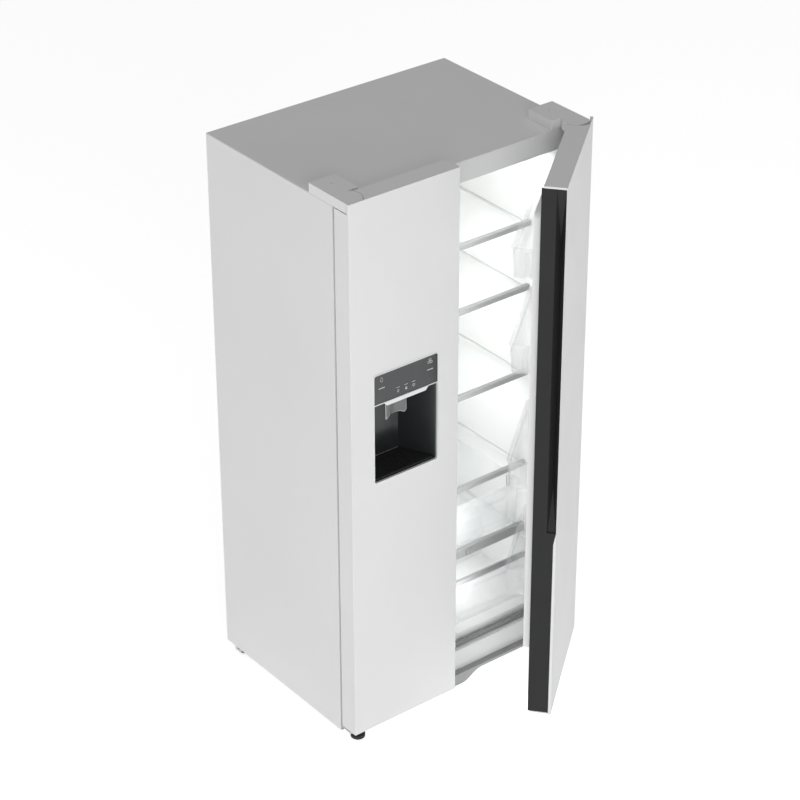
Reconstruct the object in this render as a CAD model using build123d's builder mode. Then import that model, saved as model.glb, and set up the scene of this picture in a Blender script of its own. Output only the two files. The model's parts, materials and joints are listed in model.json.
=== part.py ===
"""Side-by-side refrigerator: freezer on the left, fridge on the right, door standing ajar.

Millimetres, +Z up, the floor at z = 0, x = 0 on the cabinet's middle plane, doors facing -Y.
The y origin is the middle of the whole envelope, the open door included.
"""

import os
from dataclasses import dataclass
from math import cos, radians, sin

from build123d import *

# ---- driving dimensions ------------------------------------------------------------
width = 860.0
depth = 662.0
door_top = 1789.0
cabinet_top = 1760.0
cabinet_bottom = 25.0
door_bottom = 46.0
door_thickness = 64.0
door_gap = 8.0
freezer_door_width = 379.0
fridge_door_width = 471.0
hinge_inset = 21.0
hinge_depth = 40.0
open_angle = 40.0

# ---- sheet and wall thicknesses ----------------------------------------------------
steel = 1.2
back_sheet = 1.5
frame_sheet = 1.5
liner_wall = 2.0
plastic = 3.0
glass = 4.0

# ---- cabinet layout: distances behind the closed doors' front face ------------------
cabinet_front = door_thickness + door_gap
frame_back = cabinet_front + frame_sheet
shelf_front = 200.0
liner_back = 590.0
machine_front = 425.0
low_floor_back = 400.0
threshold_back = 104.0

# ---- heights inside the cabinet ----------------------------------------------------
pan_top = 60.0
machine_top = 272.0
opening_low = 115.0
low_floor = 150.0
high_floor = 300.0
ceiling = 1695.0
fridge_shelf_tops = (1404.0, 1192.0, 902.0, 582.0, 352.0)
freezer_shelf_tops = (1298.0, 1060.0, 820.0, 575.0, 322.0)
fridge_bin_floors = (1475.0, 1173.0, 793.0, 425.0)
freezer_bin_floors = (1560.0, 590.0, 340.0)

# ---- compartments, left to right ---------------------------------------------------
freezer_x = (-372.0, -80.0)
fridge_x = (-16.0, 385.0)
machine_half = 405.0

# ---- shared running fits -----------------------------------------------------------
running = 0.06
hinge_pin = 6.0
fan_shaft = 3.0
auger_shaft = 5.0
axle_pin = 4.0
foot_stem = 5.0
motor_radius = 22.0
motor_length = 22.0

half = width / 2
door_reach = (
    (fridge_door_width - hinge_inset) * sin(radians(open_angle))
    + hinge_depth * cos(radians(open_angle))
    - hinge_depth
)
front = (door_reach - depth) / 2
envelope_y = (front - door_reach, front + depth)

os.makedirs("parts", exist_ok=True)


@dataclass
class Door:
    """One door, placed by distances u from its hinge-side edge towards its free edge."""

    name: str
    side: int
    width: float
    opening: tuple
    angle: float

    def x(self, u):
        return self.side * (half - u)

    def span(self, near, far):
        return tuple(sorted((self.x(near), self.x(far))))

    @property
    def hinge(self):
        return (self.x(hinge_inset), behind(hinge_depth))


def behind(distance):
    """The y of a plane this far behind the closed doors' front face."""
    return front + distance


def deep(near, far):
    """Limits in y from two distances behind the closed doors' front face."""
    return (behind(near), behind(far))


def block(x, y, z, mode=Mode.ADD):
    """A box between its low and high limits on each axis."""
    with Locations(((x[0] + x[1]) / 2, (y[0] + y[1]) / 2, (z[0] + z[1]) / 2)):
        Box(x[1] - x[0], y[1] - y[0], z[1] - z[0], mode=mode)


def tray(x, y, z, wall):
    """An open-topped box with the same wall all round."""
    block(x, y, z)
    block(
        (x[0] + wall, x[1] - wall),
        (y[0] + wall, y[1] - wall),
        (z[0] + wall, z[1] + wall),
        Mode.SUBTRACT,
    )


def rod(axis, centre, radius, length, mode=Mode.ADD):
    """A round bar with its middle at the centre, lying along X, Y or Z."""
    turn = {"X": (0, 90, 0), "Y": (90, 0, 0), "Z": (0, 0, 0)}[axis]
    with Locations(Location(centre, turn)):
        Cylinder(radius, length, mode=mode)


def ring_outline(x, z, radius, wall):
    """A rounded rectangular ring in the X-Z plane, measured to its outer edge."""
    inner = max(radius - wall, radius / 2)
    with Locations(((x[0] + x[1]) / 2, (z[0] + z[1]) / 2)):
        RectangleRounded(x[1] - x[0], z[1] - z[0], radius)
        RectangleRounded(
            x[1] - x[0] - 2 * wall, z[1] - z[0] - 2 * wall, inner, mode=Mode.SUBTRACT
        )


def upright(distance):
    """A vertical sketch plane facing the doors, this far behind their front face."""
    return Plane.XZ.offset(-behind(distance))


def finish(builder, label, door=None):
    """Label a finished piece, turn it with its door where that stands open, and write it."""
    piece = builder.part
    if door is not None and door.angle:
        piece = piece.rotate(Axis((*door.hinge, 0), (0, 0, 1)), door.angle)
    piece.label = label
    export_step(piece, f"parts/{label}.step")


freezer_door = Door("freezer_door", -1, freezer_door_width, freezer_x, 0.0)
fridge_door = Door("fridge_door", 1, fridge_door_width, fridge_x, open_angle)
doors = (freezer_door, fridge_door)

# ====================================================================================
# Cabinet body
# ====================================================================================
shell_radius = 3.0
rail_height = 3.0
rail_inner = 385.0
roller_radius = 22.0
roller_depth = 605.0
roller_width = 22.0
roller_x = (rail_inner + rail_height + half - steel - rail_height) / 2
ear_half = 15.0
ear_low = 12.0


def make_cabinet_shell():
    """Painted steel wrapper: both sides and the top, open at the front, back and bottom."""
    with BuildPart() as cabinet_shell:
        block((-half, half), deep(cabinet_front, depth), (cabinet_bottom, cabinet_top))
        top_edges = cabinet_shell.edges().filter_by(Axis.Y).group_by(Axis.Z)[-1]
        fillet(top_edges, shell_radius)
        block(
            (-half + steel, half - steel),
            deep(cabinet_front - 1, depth + 1),
            (cabinet_bottom - 1, cabinet_top - steel),
            Mode.SUBTRACT,
        )
    finish(cabinet_shell, "cabinet_shell")


def compartment(x, grow):
    """The space inside one liner, or its outer skin when grown by the wall."""
    wide = (x[0] - grow, x[1] + grow)
    block(wide, deep(frame_back, liner_back + grow), (high_floor - grow, ceiling + grow))
    block(wide, deep(frame_back, low_floor_back + grow), (low_floor - grow, high_floor))
    block(wide, deep(frame_back, threshold_back + grow), (opening_low - grow, low_floor))


def make_liner(x, label):
    """White plastic inner box with a raised floor over the machine compartment."""
    with BuildPart() as space:
        compartment(x, 0)
    with BuildPart() as liner:
        compartment(x, liner_wall)
        add(space.part, mode=Mode.SUBTRACT)
    finish(liner, label)


def make_cabinet_foam():
    """Insulation that fills the room between the wrapper, the liners and the base."""
    with BuildPart() as liners:
        compartment(freezer_x, liner_wall)
        compartment(fridge_x, liner_wall)
    with BuildPart() as cabinet_foam:
        block(
            (-half + steel, half - steel),
            deep(frame_back, depth - back_sheet),
            (pan_top, cabinet_top - steel),
        )
        block(
            (-machine_half, machine_half),
            deep(machine_front, depth),
            (pan_top - 1, machine_top),
            Mode.SUBTRACT,
        )
        add(liners.part, mode=Mode.SUBTRACT)
    finish(cabinet_foam, "cabinet_foam")


def make_front_frame():
    """Painted front flange with one opening for each compartment."""
    with BuildPart() as front_frame:
        block(
            (-half + steel, half - steel),
            deep(cabinet_front, frame_back),
            (cabinet_bottom, cabinet_top - steel),
        )
        for opening in (freezer_x, fridge_x):
            block(
                opening,
                deep(cabinet_front - 1, frame_back + 1),
                (opening_low, ceiling),
                Mode.SUBTRACT,
            )
    finish(front_frame, "front_frame")


def make_back_panel():
    """Flat steel rear wall above the machine compartment, stiffened by pressed ribs."""
    rib_x = 300.0
    rib_width = 24.0
    rib_z = (420.0, 1640.0)
    with BuildPart() as back_panel:
        block(
            (-half + steel, half - steel),
            deep(depth - back_sheet, depth),
            (machine_top, cabinet_top - steel),
        )
        for middle in (-rib_x, 0, rib_x):
            block(
                (middle - rib_width / 2, middle + rib_width / 2),
                deep(depth - back_sheet / 2, depth + 1),
                rib_z,
                Mode.SUBTRACT,
            )
    finish(back_panel, "back_panel")


def make_base_pan():
    """Steel base: a floor plate on side rails, with forked ears for the rear rollers."""
    rails = (rail_inner, half - steel - rail_height)
    with BuildPart() as base_pan:
        block(
            (-half + steel, half - steel),
            deep(frame_back, depth - back_sheet),
            (pan_top - rail_height, pan_top),
        )
        for side in (-1, 1):
            for rail in rails:
                x = tuple(sorted((side * rail, side * (rail + rail_height))))
                block(
                    x, deep(frame_back, depth - back_sheet), (cabinet_bottom, pan_top)
                )
                block(
                    x,
                    deep(roller_depth - ear_half, roller_depth + ear_half),
                    (ear_low, pan_top),
                )
            rod(
                "X",
                (side * roller_x, behind(roller_depth), roller_radius),
                axle_pin + running,
                2 * roller_x,
                Mode.SUBTRACT,
            )
        block(
            (-rail_inner, rail_inner),
            deep(frame_back, frame_back + rail_height),
            (cabinet_bottom, pan_top),
        )
    finish(base_pan, "base_pan")


def make_kick_plate():
    """Plinth below the doors, cut into two long arches either side of a middle leg."""
    reach = 344.0
    top_z = 44.0
    ledge_low = 41.5
    face = (50.0, 52.5)
    leg_half = 16.0
    leg_low = 5.0
    arch_start = 95.0
    arch_z = 35.0
    with BuildPart() as kick_plate:
        with BuildSketch(upright(face[0])):
            with BuildLine():
                rise = Bezier(
                    (leg_half, leg_low),
                    (leg_half + 34, leg_low + 1),
                    (arch_start - 34, arch_z - 1),
                    (arch_start, arch_z),
                )
                Line((0, leg_low), rise @ 0)
                Polyline(rise @ 1, (reach, arch_z), (reach, top_z), (0, top_z), (0, leg_low))
            make_face()
            mirror(about=Plane.YZ)
        extrude(amount=face[0] - face[1])
        block((-reach, reach), deep(face[0], cabinet_front), (ledge_low, top_z))
    finish(kick_plate, "kick_plate")


def make_machine_cover():
    """Slotted rear cover of the machine compartment, with the power inlet's opening."""
    slot_rows = 6
    slot_columns = 5
    with BuildPart() as machine_cover:
        block(
            (-machine_half, machine_half),
            deep(depth - back_sheet, depth),
            (pan_top, machine_top),
        )
        with Locations(Location((0, behind(depth), (pan_top + machine_top) / 2), (90, 0, 0))):
            with GridLocations(120, 24, slot_columns, slot_rows):
                Box(90, 6, 4 * back_sheet, mode=Mode.SUBTRACT)
        block(inlet_x, deep(depth - 3, depth + 1), inlet_z, Mode.SUBTRACT)
    finish(machine_cover, "machine_cover")


# ====================================================================================
# Cooling machinery
# ====================================================================================
inlet_x = (352.0, 384.0)
inlet_z = (140.0, 166.0)
inlet_depth = 24.0
fan_y = 540.0
condenser_fan_z = 150.0
condenser_fan_x = -22.0
condenser_motor_x = -60.0
coil_x = (0.0, 190.0)
evaporator_fan_x = -226.0
evaporator_fan_z = 760.0
evaporator_fan_y = 550.0
fan_length = 14.0
fan_hub = 16.0
fan_tip = 56.0
blade_count = 5
bucket_x = (-330.0, -120.0)
bucket_y = (78.0, 470.0)
bucket_z = (1301.0, 1540.0)
auger_z = 1342.0
auger_x = -225.0


def make_compressor():
    """Domed hermetic compressor on a footed mounting plate, with its suction stub."""
    centre = (-230.0, behind(545))
    can = 66.0
    plate = (95.0, 62.0)
    plate_z = (68.0, 71.0)
    can_z = (78.0, 224.0)
    dome = 34.0
    with BuildPart() as compressor:
        rod("Z", (*centre, sum(can_z) / 2), can, can_z[1] - can_z[0])
        rims = compressor.edges().filter_by(GeomType.CIRCLE).sort_by(Axis.Z)
        fillet(rims[-1], dome)
        rims = compressor.edges().filter_by(GeomType.CIRCLE).sort_by(Axis.Z)
        fillet(rims[0], dome / 3)
        rod("Z", (*centre, (can_z[0] + plate_z[0]) / 2 + 4), can / 2, can_z[0] - plate_z[0] + 8)
        block(
            (centre[0] - plate[0], centre[0] + plate[0]),
            (centre[1] - plate[1], centre[1] + plate[1]),
            plate_z,
        )
        for across in (-plate[0] + 12, plate[0] - 12):
            for along in (-plate[1] + 12, plate[1] - 12):
                rod(
                    "Z",
                    (centre[0] + across, centre[1] + along, (pan_top + plate_z[0]) / 2),
                    9,
                    plate_z[0] - pan_top,
                )
        rod("X", (centre[0] + can, centre[1], 150), 5, 30)
    finish(compressor, "compressor")


def finned_coil(x, y, z, pitch, fins_along):
    """Tubes through a pack of thin fins; the fins stand across the named direction."""
    fin = 1.2
    tube = 4.0
    low, high = {"X": x, "Z": z}[fins_along]
    count = int((high - low) / pitch)
    for step in range(count + 1):
        at = low + step * (high - low - fin) / count
        if fins_along == "X":
            block((at, at + fin), y, z)
        else:
            block(x, y, (at, at + fin))
    for y_share in (0.28, 0.72):
        y_at = y[0] + y_share * (y[1] - y[0])
        if fins_along == "X":
            for z_share in (0.15, 0.38, 0.62, 0.85):
                centre = (sum(x) / 2, y_at, z[0] + z_share * (z[1] - z[0]))
                rod("X", centre, tube, x[1] - x[0])
        else:
            for x_share in (0.12, 0.37, 0.63, 0.88):
                centre = (x[0] + x_share * (x[1] - x[0]), y_at, sum(z) / 2)
                rod("Z", centre, tube, z[1] - z[0])


def make_condenser_coil():
    """Tube-and-fin condenser beside the compressor."""
    with BuildPart() as condenser_coil:
        finned_coil(coil_x, deep(480, 610), (84, 236), 12, "X")
        for x in (coil_x[0], coil_x[1] - 1.2):
            block((x, x + 1.2), deep(480, 610), (78, 90))
    finish(condenser_coil, "condenser_coil")


def make_evaporator():
    """Tube-and-fin evaporator behind the freezer's rear duct cover."""
    with BuildPart() as evaporator:
        finned_coil((-360, -92), deep(532, 588), (320, 640), 20, "Z")
    finish(evaporator, "evaporator")


def make_drip_pan():
    """Evaporation pan under the condenser, where the defrost water dries up."""
    with BuildPart() as drip_pan:
        tray((-8, 200), deep(450, 640), (pan_top, 78), liner_wall)
    finish(drip_pan, "drip_pan")


def make_power_inlet():
    """Appliance inlet: a recessed socket with three contact pins, flush with the cover."""
    wall = 3.0
    recess = 16.0
    pins = ((-7.0, 0.0), (7.0, 0.0), (0.0, 4.5))
    middle = ((inlet_x[0] + inlet_x[1]) / 2, (inlet_z[0] + inlet_z[1]) / 2)
    with BuildPart() as power_inlet:
        block(inlet_x, deep(depth - inlet_depth, depth), inlet_z)
        block(
            (inlet_x[0] + wall, inlet_x[1] - wall),
            deep(depth - recess, depth + 1),
            (inlet_z[0] + wall, inlet_z[1] - wall),
            Mode.SUBTRACT,
        )
        for across, up in pins:
            block(
                (middle[0] + across - 1, middle[0] + across + 1),
                deep(depth - recess - 1, depth - 3),
                (middle[1] + up - 2.5, middle[1] + up + 2.5),
            )
    finish(power_inlet, "power_inlet")


def make_water_valve():
    """Solenoid valve that feeds the ice maker and the dispenser."""
    with BuildPart() as water_valve:
        block((262, 308), deep(600, 640), (pan_top, 96))
        rod("Z", (285, behind(620), 112), 14, 36)
        rod("Y", (285, behind(650), 80), 7, 20)
        rod("X", (252, behind(615), 80), 5, 24)
    finish(water_valve, "water_valve")


def make_drive_motors():
    """Three alike small motors: condenser fan on a post, evaporator fan, ice auger."""
    shaft = 26.0
    with BuildPart() as drive_motors:
        middle = condenser_motor_x + motor_length / 2
        rod("X", (middle, behind(fan_y), condenser_fan_z), motor_radius, motor_length)
        rod(
            "X",
            (condenser_motor_x + motor_length + shaft / 2, behind(fan_y), condenser_fan_z),
            fan_shaft,
            shaft,
        )
        block(
            (condenser_motor_x + 4, condenser_motor_x + motor_length - 4),
            deep(fan_y - 12, fan_y + 12),
            (pan_top, condenser_fan_z),
        )
        rod(
            "Y",
            (evaporator_fan_x, behind(liner_back - motor_length / 2), evaporator_fan_z),
            motor_radius,
            motor_length,
        )
        rod(
            "Y",
            (
                evaporator_fan_x,
                behind(liner_back - motor_length - shaft / 2),
                evaporator_fan_z,
            ),
            fan_shaft,
            shaft,
        )
        rod(
            "Y",
            (auger_x, behind(duct_y[0] - motor_length / 2), auger_z),
            motor_radius,
            motor_length,
        )
    finish(drive_motors, "drive_motors")


def fan_blades():
    """Hub and pitched blades about the Z axis, to be laid along the fan's own axis."""
    with BuildPart() as rotor:
        Cylinder(fan_hub, fan_length)
        with PolarLocations(0, blade_count):
            with Locations(Location(((fan_hub + fan_tip) / 2 - 1, 0, 0), (28, 0, 0))):
                Box(fan_tip - fan_hub + 2, 30, 1.8)
        Cylinder(fan_shaft + running, 2 * fan_length, mode=Mode.SUBTRACT)
    return rotor.part


def make_fan(label, place):
    """One axial fan, set with its axis along the motor's shaft."""
    with BuildPart() as fan:
        add(fan_blades().moved(place))
    finish(fan, label)


# ====================================================================================
# Freezer compartment
# ====================================================================================
duct_y = (518.0, 521.0)
freezer_clear = (freezer_x[0] + 1, freezer_x[1] - 1)


def make_freezer_duct_cover():
    """Rear wall of the freezer with air slots and the evaporator fan's round grille."""
    slot_z = (420, 480, 900, 960, 1140, 1200, 1420, 1480)
    with BuildPart() as freezer_duct_cover:
        block(freezer_clear, deep(*duct_y), (high_floor + 1, ceiling - 1))
        for z in slot_z:
            block((-320, -132), deep(duct_y[0] - 1, duct_y[1] + 1), (z, z + 8), Mode.SUBTRACT)
        for ring in range(-3, 4):
            z = evaporator_fan_z + ring * 14
            reach = (50**2 - (ring * 14) ** 2) ** 0.5
            block(
                (evaporator_fan_x - reach, evaporator_fan_x + reach),
                deep(duct_y[0] - 1, duct_y[1] + 1),
                (z - 4, z + 4),
                Mode.SUBTRACT,
            )
    finish(freezer_duct_cover, "freezer_duct_cover")


def make_freezer_shelves():
    """Glass shelves of the freezer, one under the ice bucket and one under each drawer."""
    with BuildPart() as freezer_shelves:
        for top in freezer_shelf_tops:
            block(freezer_clear, deep(150, duct_y[0] - 1), (top - glass, top))
    finish(freezer_shelves, "freezer_shelves")


def make_ice_maker():
    """Ice mould with a row of pockets and its gearbox, hung under the freezer's ceiling."""
    mould_x = (-340.0, -140.0)
    pocket = 26.0
    with BuildPart() as ice_maker:
        block(mould_x, deep(210, 290), (1590, 1630))
        for step in range(6):
            x = mould_x[0] + 8 + step * (pocket + 6)
            block((x, x + pocket), deep(218, 282), (1602, 1631), Mode.SUBTRACT)
        block((mould_x[1], mould_x[1] + 40), deep(195, 300), (1575, 1690))
        block((mould_x[0] - 6, mould_x[0]), deep(210, 290), (1590, 1690))
        block((mould_x[0] - 6, mould_x[1] + 40), deep(286, 290), (1630, 1694))
    finish(ice_maker, "ice_maker")


def make_ice_bucket():
    """Open-topped ice bucket with the auger's rear bore and an outlet over the chute."""
    outlet_x = (-270.0, -206.0)
    with BuildPart() as ice_bucket:
        tray(bucket_x, deep(*bucket_y), bucket_z, plastic)
        block(
            outlet_x,
            deep(bucket_y[0] + plastic, chute_y[1]),
            (bucket_z[0] - 1, bucket_z[0] + plastic + 1),
            Mode.SUBTRACT,
        )
        rod(
            "Y",
            (auger_x, behind(bucket_y[1]), auger_z),
            auger_shaft + running,
            6 * plastic,
            Mode.SUBTRACT,
        )
    finish(ice_bucket, "ice_bucket")


def make_ice_auger():
    """Shaft with stepped sweeping bars that push the ice forward to the outlet."""
    bar_reach = 30.0
    bar_count = 9
    bars = (112.0, 448.0)
    shaft = (96.0, duct_y[0] - motor_length - 1)
    with BuildPart() as ice_auger:
        rod(
            "Y",
            (auger_x, behind(sum(shaft) / 2), auger_z),
            auger_shaft,
            shaft[1] - shaft[0],
        )
        for step in range(bar_count):
            y = behind(bars[0] + step * (bars[1] - bars[0]) / (bar_count - 1))
            with Locations(Location((auger_x, y, auger_z), (0, step * 45, 0))):
                Box(2 * bar_reach, 10, 7)
    finish(ice_auger, "ice_auger")


def make_drawer(label, x, y, z, grip_z):
    """Pull-out drawer with a moulded handle rail along its front."""
    with BuildPart() as drawer:
        tray(x, y, z, plastic)
        block((x[0] + 20, x[1] - 20), (y[0] - 6, y[0]), grip_z)
    finish(drawer, label)


# ====================================================================================
# Fridge compartment
# ====================================================================================
fridge_clear = (fridge_x[0] + 1, fridge_x[1] - 1)
shelf_back = 568.0
trim_deep = 14.0
trim_below = 5.0
trim_above = 12.0
cover_trim_below = 14.0
cover_trim_above = 18.0
fridge_duct_x = (110.0, 260.0)


def make_fridge_duct_cover():
    """Slim air duct up the back of the fridge, with outlets above each shelf."""
    duct_z = (440.0, 1640.0)
    with BuildPart() as fridge_duct_cover:
        block(fridge_duct_x, deep(shelf_back + 2, liner_back), duct_z)
        front_edges = fridge_duct_cover.edges().filter_by(Axis.Z).group_by(Axis.Y)[0]
        chamfer(front_edges, 8)
        for top in fridge_shelf_tops[:-1]:
            for step in range(3):
                z = top + 90 + step * 16
                block(
                    (fridge_duct_x[0] + 30, fridge_duct_x[1] - 30),
                    deep(shelf_back, shelf_back + 10),
                    (z, z + 7),
                    Mode.SUBTRACT,
                )
    finish(fridge_duct_cover, "fridge_duct_cover")


def make_glass_shelves():
    """Glass plates of the fridge; the lowest one covers the crisper drawer."""
    with BuildPart() as glass_shelves:
        for top in fridge_shelf_tops:
            block(fridge_clear, deep(shelf_front + trim_deep, shelf_back), (top - glass, top))
    finish(glass_shelves, "glass_shelves")


def make_shelf_trims():
    """Front rails that edge the glass plates; the crisper cover's rail is the tall one."""
    with BuildPart() as shelf_trims:
        for top in fridge_shelf_tops:
            is_cover = top == fridge_shelf_tops[-1]
            below = cover_trim_below if is_cover else trim_below
            above = cover_trim_above if is_cover else trim_above
            block(
                fridge_clear,
                deep(shelf_front, shelf_front + trim_deep),
                (top - below, top + above),
            )
        chamfer(shelf_trims.edges().filter_by(Axis.X).group_by(Axis.Y)[0], 1.5)
    finish(shelf_trims, "shelf_trims")


def make_interior_lamps():
    """Light panels under the ceilings of the fridge and the freezer."""
    lamp_z = (ceiling - 8, ceiling)
    with BuildPart() as interior_lamps:
        block((85, 285), deep(140, 182), lamp_z)
        block((-300, -152), deep(110, 150), lamp_z)
    finish(interior_lamps, "interior_lamps")


def make_humidity_slider():
    """Small slider on the crisper cover's rail that opens the drawer's air vent."""
    with BuildPart() as humidity_slider:
        block((150, 176), deep(shelf_front - 5, shelf_front - 0.3), (346, 362))
        block((160, 166), deep(shelf_front - 9, shelf_front - 5), (348, 360))
    finish(humidity_slider, "humidity_slider")


# ====================================================================================
# Doors
# ====================================================================================
edge_trim = 30.0
liner_flange = (58.0, door_thickness)
cap_sheet = 6.0
hinge_block = 80.0
hinge_block_top = 1715.0
hinge_block_low = 90.0
recess_floor = 1757.0
recess_wide = 48.0
recess_round = 37.0
recess_front = 3.5
pin_top_low = 1722.0
pin_bottom_top = 82.0
return_depth = 8.5
return_top = 652.0
grip_low = 691.0
grip_ramp_low = 838.0
grip_ramp_top = 1624.0
grip_y = (2.2, 28.5)
grip_deepest_y = 17.0
grip_depth = 24.0
grip_end_step = 4.0
dyke_z = (250.0, 1688.0)
dyke_inset = (8.0, 6.0)
dyke_wall = 12.0
dyke_reach = 94.0
edge_lip = 3.0
edge_lip_back = 70.0
gasket_outer = 20.0
gasket_hinge_inset = 20.0
gasket_wall = 16.0
gasket_back = cabinet_front - 0.4
bin_wall = 2.5

# Dispenser in the freezer door
dispenser_x = (-353.0, -123.0)
dispenser_z = (891.0, 1243.0)
bezel_wall = 3.0
bezel_corner = 10.0
bezel_y = (-1.5, 6.0)
cavity_z = (894.0, 1145.0)
cavity_mouth = (-350.0, -126.0)
cavity_back = (-295.0, -181.0)
cavity_depth = 110.0
housing_wall = 2.5
chute_x = (-273.0, -203.0)
chute_y = (68.0, 106.0)
bump_x = (-362.0, -114.0)
bump_z = (830.0, 1290.0)
bump_back = 128.0
paddle_x = (-274.0, -202.0)
paddle_pivot = (47.5, 1138.0)
paddle_pin = 2.5
flap_pivot = (104.0, 1151.0)


def dyke_span(door):
    """The x limits of the door liner's raised rim, clear of the compartment's opening."""
    low, high = door.opening
    free_inset, hinge_side_inset = dyke_inset
    if door.side > 0:
        return (low + free_inset, high - hinge_side_inset)
    return (low + hinge_side_inset, high - free_inset)


def edge_profile():
    """Side outline of the free edge that is not covered by the front sheet's return."""
    Polygon(
        (behind(return_depth), door_bottom - 1),
        (behind(door_thickness) + 1, door_bottom - 1),
        (behind(door_thickness) + 1, door_top + 1),
        (behind(steel), door_top + 1),
        (behind(steel), grip_low),
        (behind(return_depth), return_top),
        align=None,
    )


def hinge_recess(door):
    """Plan outline of the pocket in the door's top that turns around the hinge cover."""
    x, y = door.hinge
    strip = hinge_depth - recess_front
    with Locations((x, y)):
        Circle(recess_wide)
    with Locations((x + door.side * recess_wide, y)):
        Rectangle(2 * recess_wide, 3 * recess_wide, mode=Mode.SUBTRACT)
    with Locations((x, y)):
        Circle(recess_round)
    with Locations((x, y - strip - recess_wide)):
        Rectangle(4 * recess_wide, 2 * recess_wide, mode=Mode.SUBTRACT)


def make_door_skin(door):
    """Painted sheet: the front face, the hinge-side edge and a short return at the free edge."""
    thin = door.span(door.width - steel, door.width)
    hinge_edge = 2.0
    with BuildPart() as skin:
        block(door.span(0, door.width), deep(0, door_thickness), (door_bottom, door_top))
        uprights = skin.edges().filter_by(Axis.Z).group_by(Axis.Y)[0].sort_by(Axis.X)
        fillet(uprights[-1] if door.side > 0 else uprights[0], hinge_edge)
        block(
            door.span(steel, door.width - steel),
            deep(steel, door_thickness + 1),
            (door_bottom - 1, door_top + 1),
            Mode.SUBTRACT,
        )
        with BuildSketch(Plane.YZ.offset(thin[0] - 0.5)):
            edge_profile()
        extrude(amount=steel + 1, mode=Mode.SUBTRACT)
        with BuildSketch(Plane.XY.offset(recess_floor)):
            hinge_recess(door)
        extrude(amount=door_top - recess_floor + 1, mode=Mode.SUBTRACT)
        if door is freezer_door:
            with BuildSketch(upright(-1)):
                with Locations((sum(dispenser_x) / 2, sum(dispenser_z) / 2)):
                    RectangleRounded(
                        dispenser_x[1] - dispenser_x[0],
                        dispenser_z[1] - dispenser_z[0],
                        bezel_corner,
                    )
            extrude(amount=-(steel + 2), mode=Mode.SUBTRACT)
    finish(skin, f"{door.name}_skin", door)


def grip_groove(door):
    """Tapered finger groove with a ramp at each end, open at the door's free edge."""
    edge = door.x(door.width)
    inward = door.side
    with BuildPart() as groove:
        with BuildSketch(Plane.XY.offset(grip_low)):
            Polygon(
                (edge - inward, behind(grip_y[0])),
                (edge, behind(grip_y[0])),
                (edge + inward * grip_depth, behind(grip_deepest_y)),
                (edge, behind(grip_y[1])),
                (edge - inward, behind(grip_y[1])),
                align=None,
            )
        extrude(amount=door_top - cap_sheet - grip_low)
        with BuildSketch(upright(0)):
            Polygon(
                (edge - inward, grip_low),
                (edge + inward * grip_end_step, grip_low),
                (edge + inward * grip_depth, grip_ramp_low),
                (edge + inward * grip_depth, grip_ramp_top),
                (edge, door_top - cap_sheet),
                (edge - inward, door_top - cap_sheet),
                align=None,
            )
        extrude(amount=door_thickness, both=True, mode=Mode.INTERSECT)
    return groove.part


def make_door_grip(door):
    """Dark free-edge moulding with the recessed grip along its upper part."""
    groove = grip_groove(door)
    thin = door.span(door.width - steel, door.width)
    with BuildPart() as grip:
        block(
            door.span(door.width - edge_trim, door.width),
            deep(steel, liner_flange[0]),
            (door_bottom + cap_sheet, door_top - cap_sheet),
        )
        block(
            door.span(door.width - edge_lip, door.width),
            deep(liner_flange[0] - 1, edge_lip_back),
            (door_bottom + cap_sheet, door_top - cap_sheet),
        )
        with BuildSketch(Plane.YZ.offset(thin[0])):
            Polygon(
                (behind(0), door_bottom - 1),
                (behind(return_depth), door_bottom - 1),
                (behind(return_depth), return_top),
                (behind(steel), grip_low),
                (behind(0), grip_low),
                align=None,
            )
        extrude(amount=steel, mode=Mode.SUBTRACT)
        add(groove, mode=Mode.SUBTRACT)
    finish(grip, f"{door.name}_grip", door)


def make_door_caps(door):
    """Top and bottom end caps, each with a sleeve block bored for its hinge pin."""
    x, y = door.hinge
    bore = hinge_pin + running
    with BuildPart() as caps:
        block(
            door.span(steel, door.width),
            deep(steel, door_thickness),
            (door_top - cap_sheet, door_top),
        )
        block(
            door.span(steel, hinge_block),
            deep(steel, liner_flange[0]),
            (hinge_block_top, door_top - cap_sheet),
        )
        block(
            door.span(steel, door.width - steel),
            deep(steel, door_thickness),
            (door_bottom, door_bottom + cap_sheet),
        )
        block(
            door.span(steel, hinge_block),
            deep(steel, liner_flange[0]),
            (door_bottom + cap_sheet, hinge_block_low),
        )
        with BuildSketch(Plane.XY.offset(recess_floor)):
            hinge_recess(door)
        extrude(amount=door_top - recess_floor + 1, mode=Mode.SUBTRACT)
        rod("Z", (x, y, recess_floor - 19), bore, 40, Mode.SUBTRACT)
        rod("Z", (x, y, door_bottom + 19), bore, 40, Mode.SUBTRACT)
    finish(caps, f"{door.name}_caps", door)


def housing_outline(mouth_y, wall):
    """Plan outline of the dispenser cavity, from its mouth back to its rear wall."""
    Polygon(
        (cavity_mouth[0] - wall, behind(mouth_y)),
        (cavity_mouth[1] + wall, behind(mouth_y)),
        (cavity_back[1] + wall, behind(cavity_depth + wall)),
        (cavity_back[0] - wall, behind(cavity_depth + wall)),
        align=None,
    )


def dispenser_room():
    """The room in the freezer door taken by the dispenser housing, its panel and the chute."""
    with BuildPart() as room:
        with BuildSketch(Plane.XY.offset(cavity_z[0] - housing_wall)):
            housing_outline(bezel_y[1], housing_wall)
        extrude(amount=cavity_z[1] - cavity_z[0] + 2 * housing_wall)
        block(dispenser_x, deep(0, bezel_y[1]), dispenser_z)
        block(
            (chute_x[0] - housing_wall, chute_x[1] + housing_wall),
            deep(chute_y[0] - housing_wall, chute_y[1] + housing_wall),
            (cavity_z[1], bump_z[1] + 1),
        )
    return room.part


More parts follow.
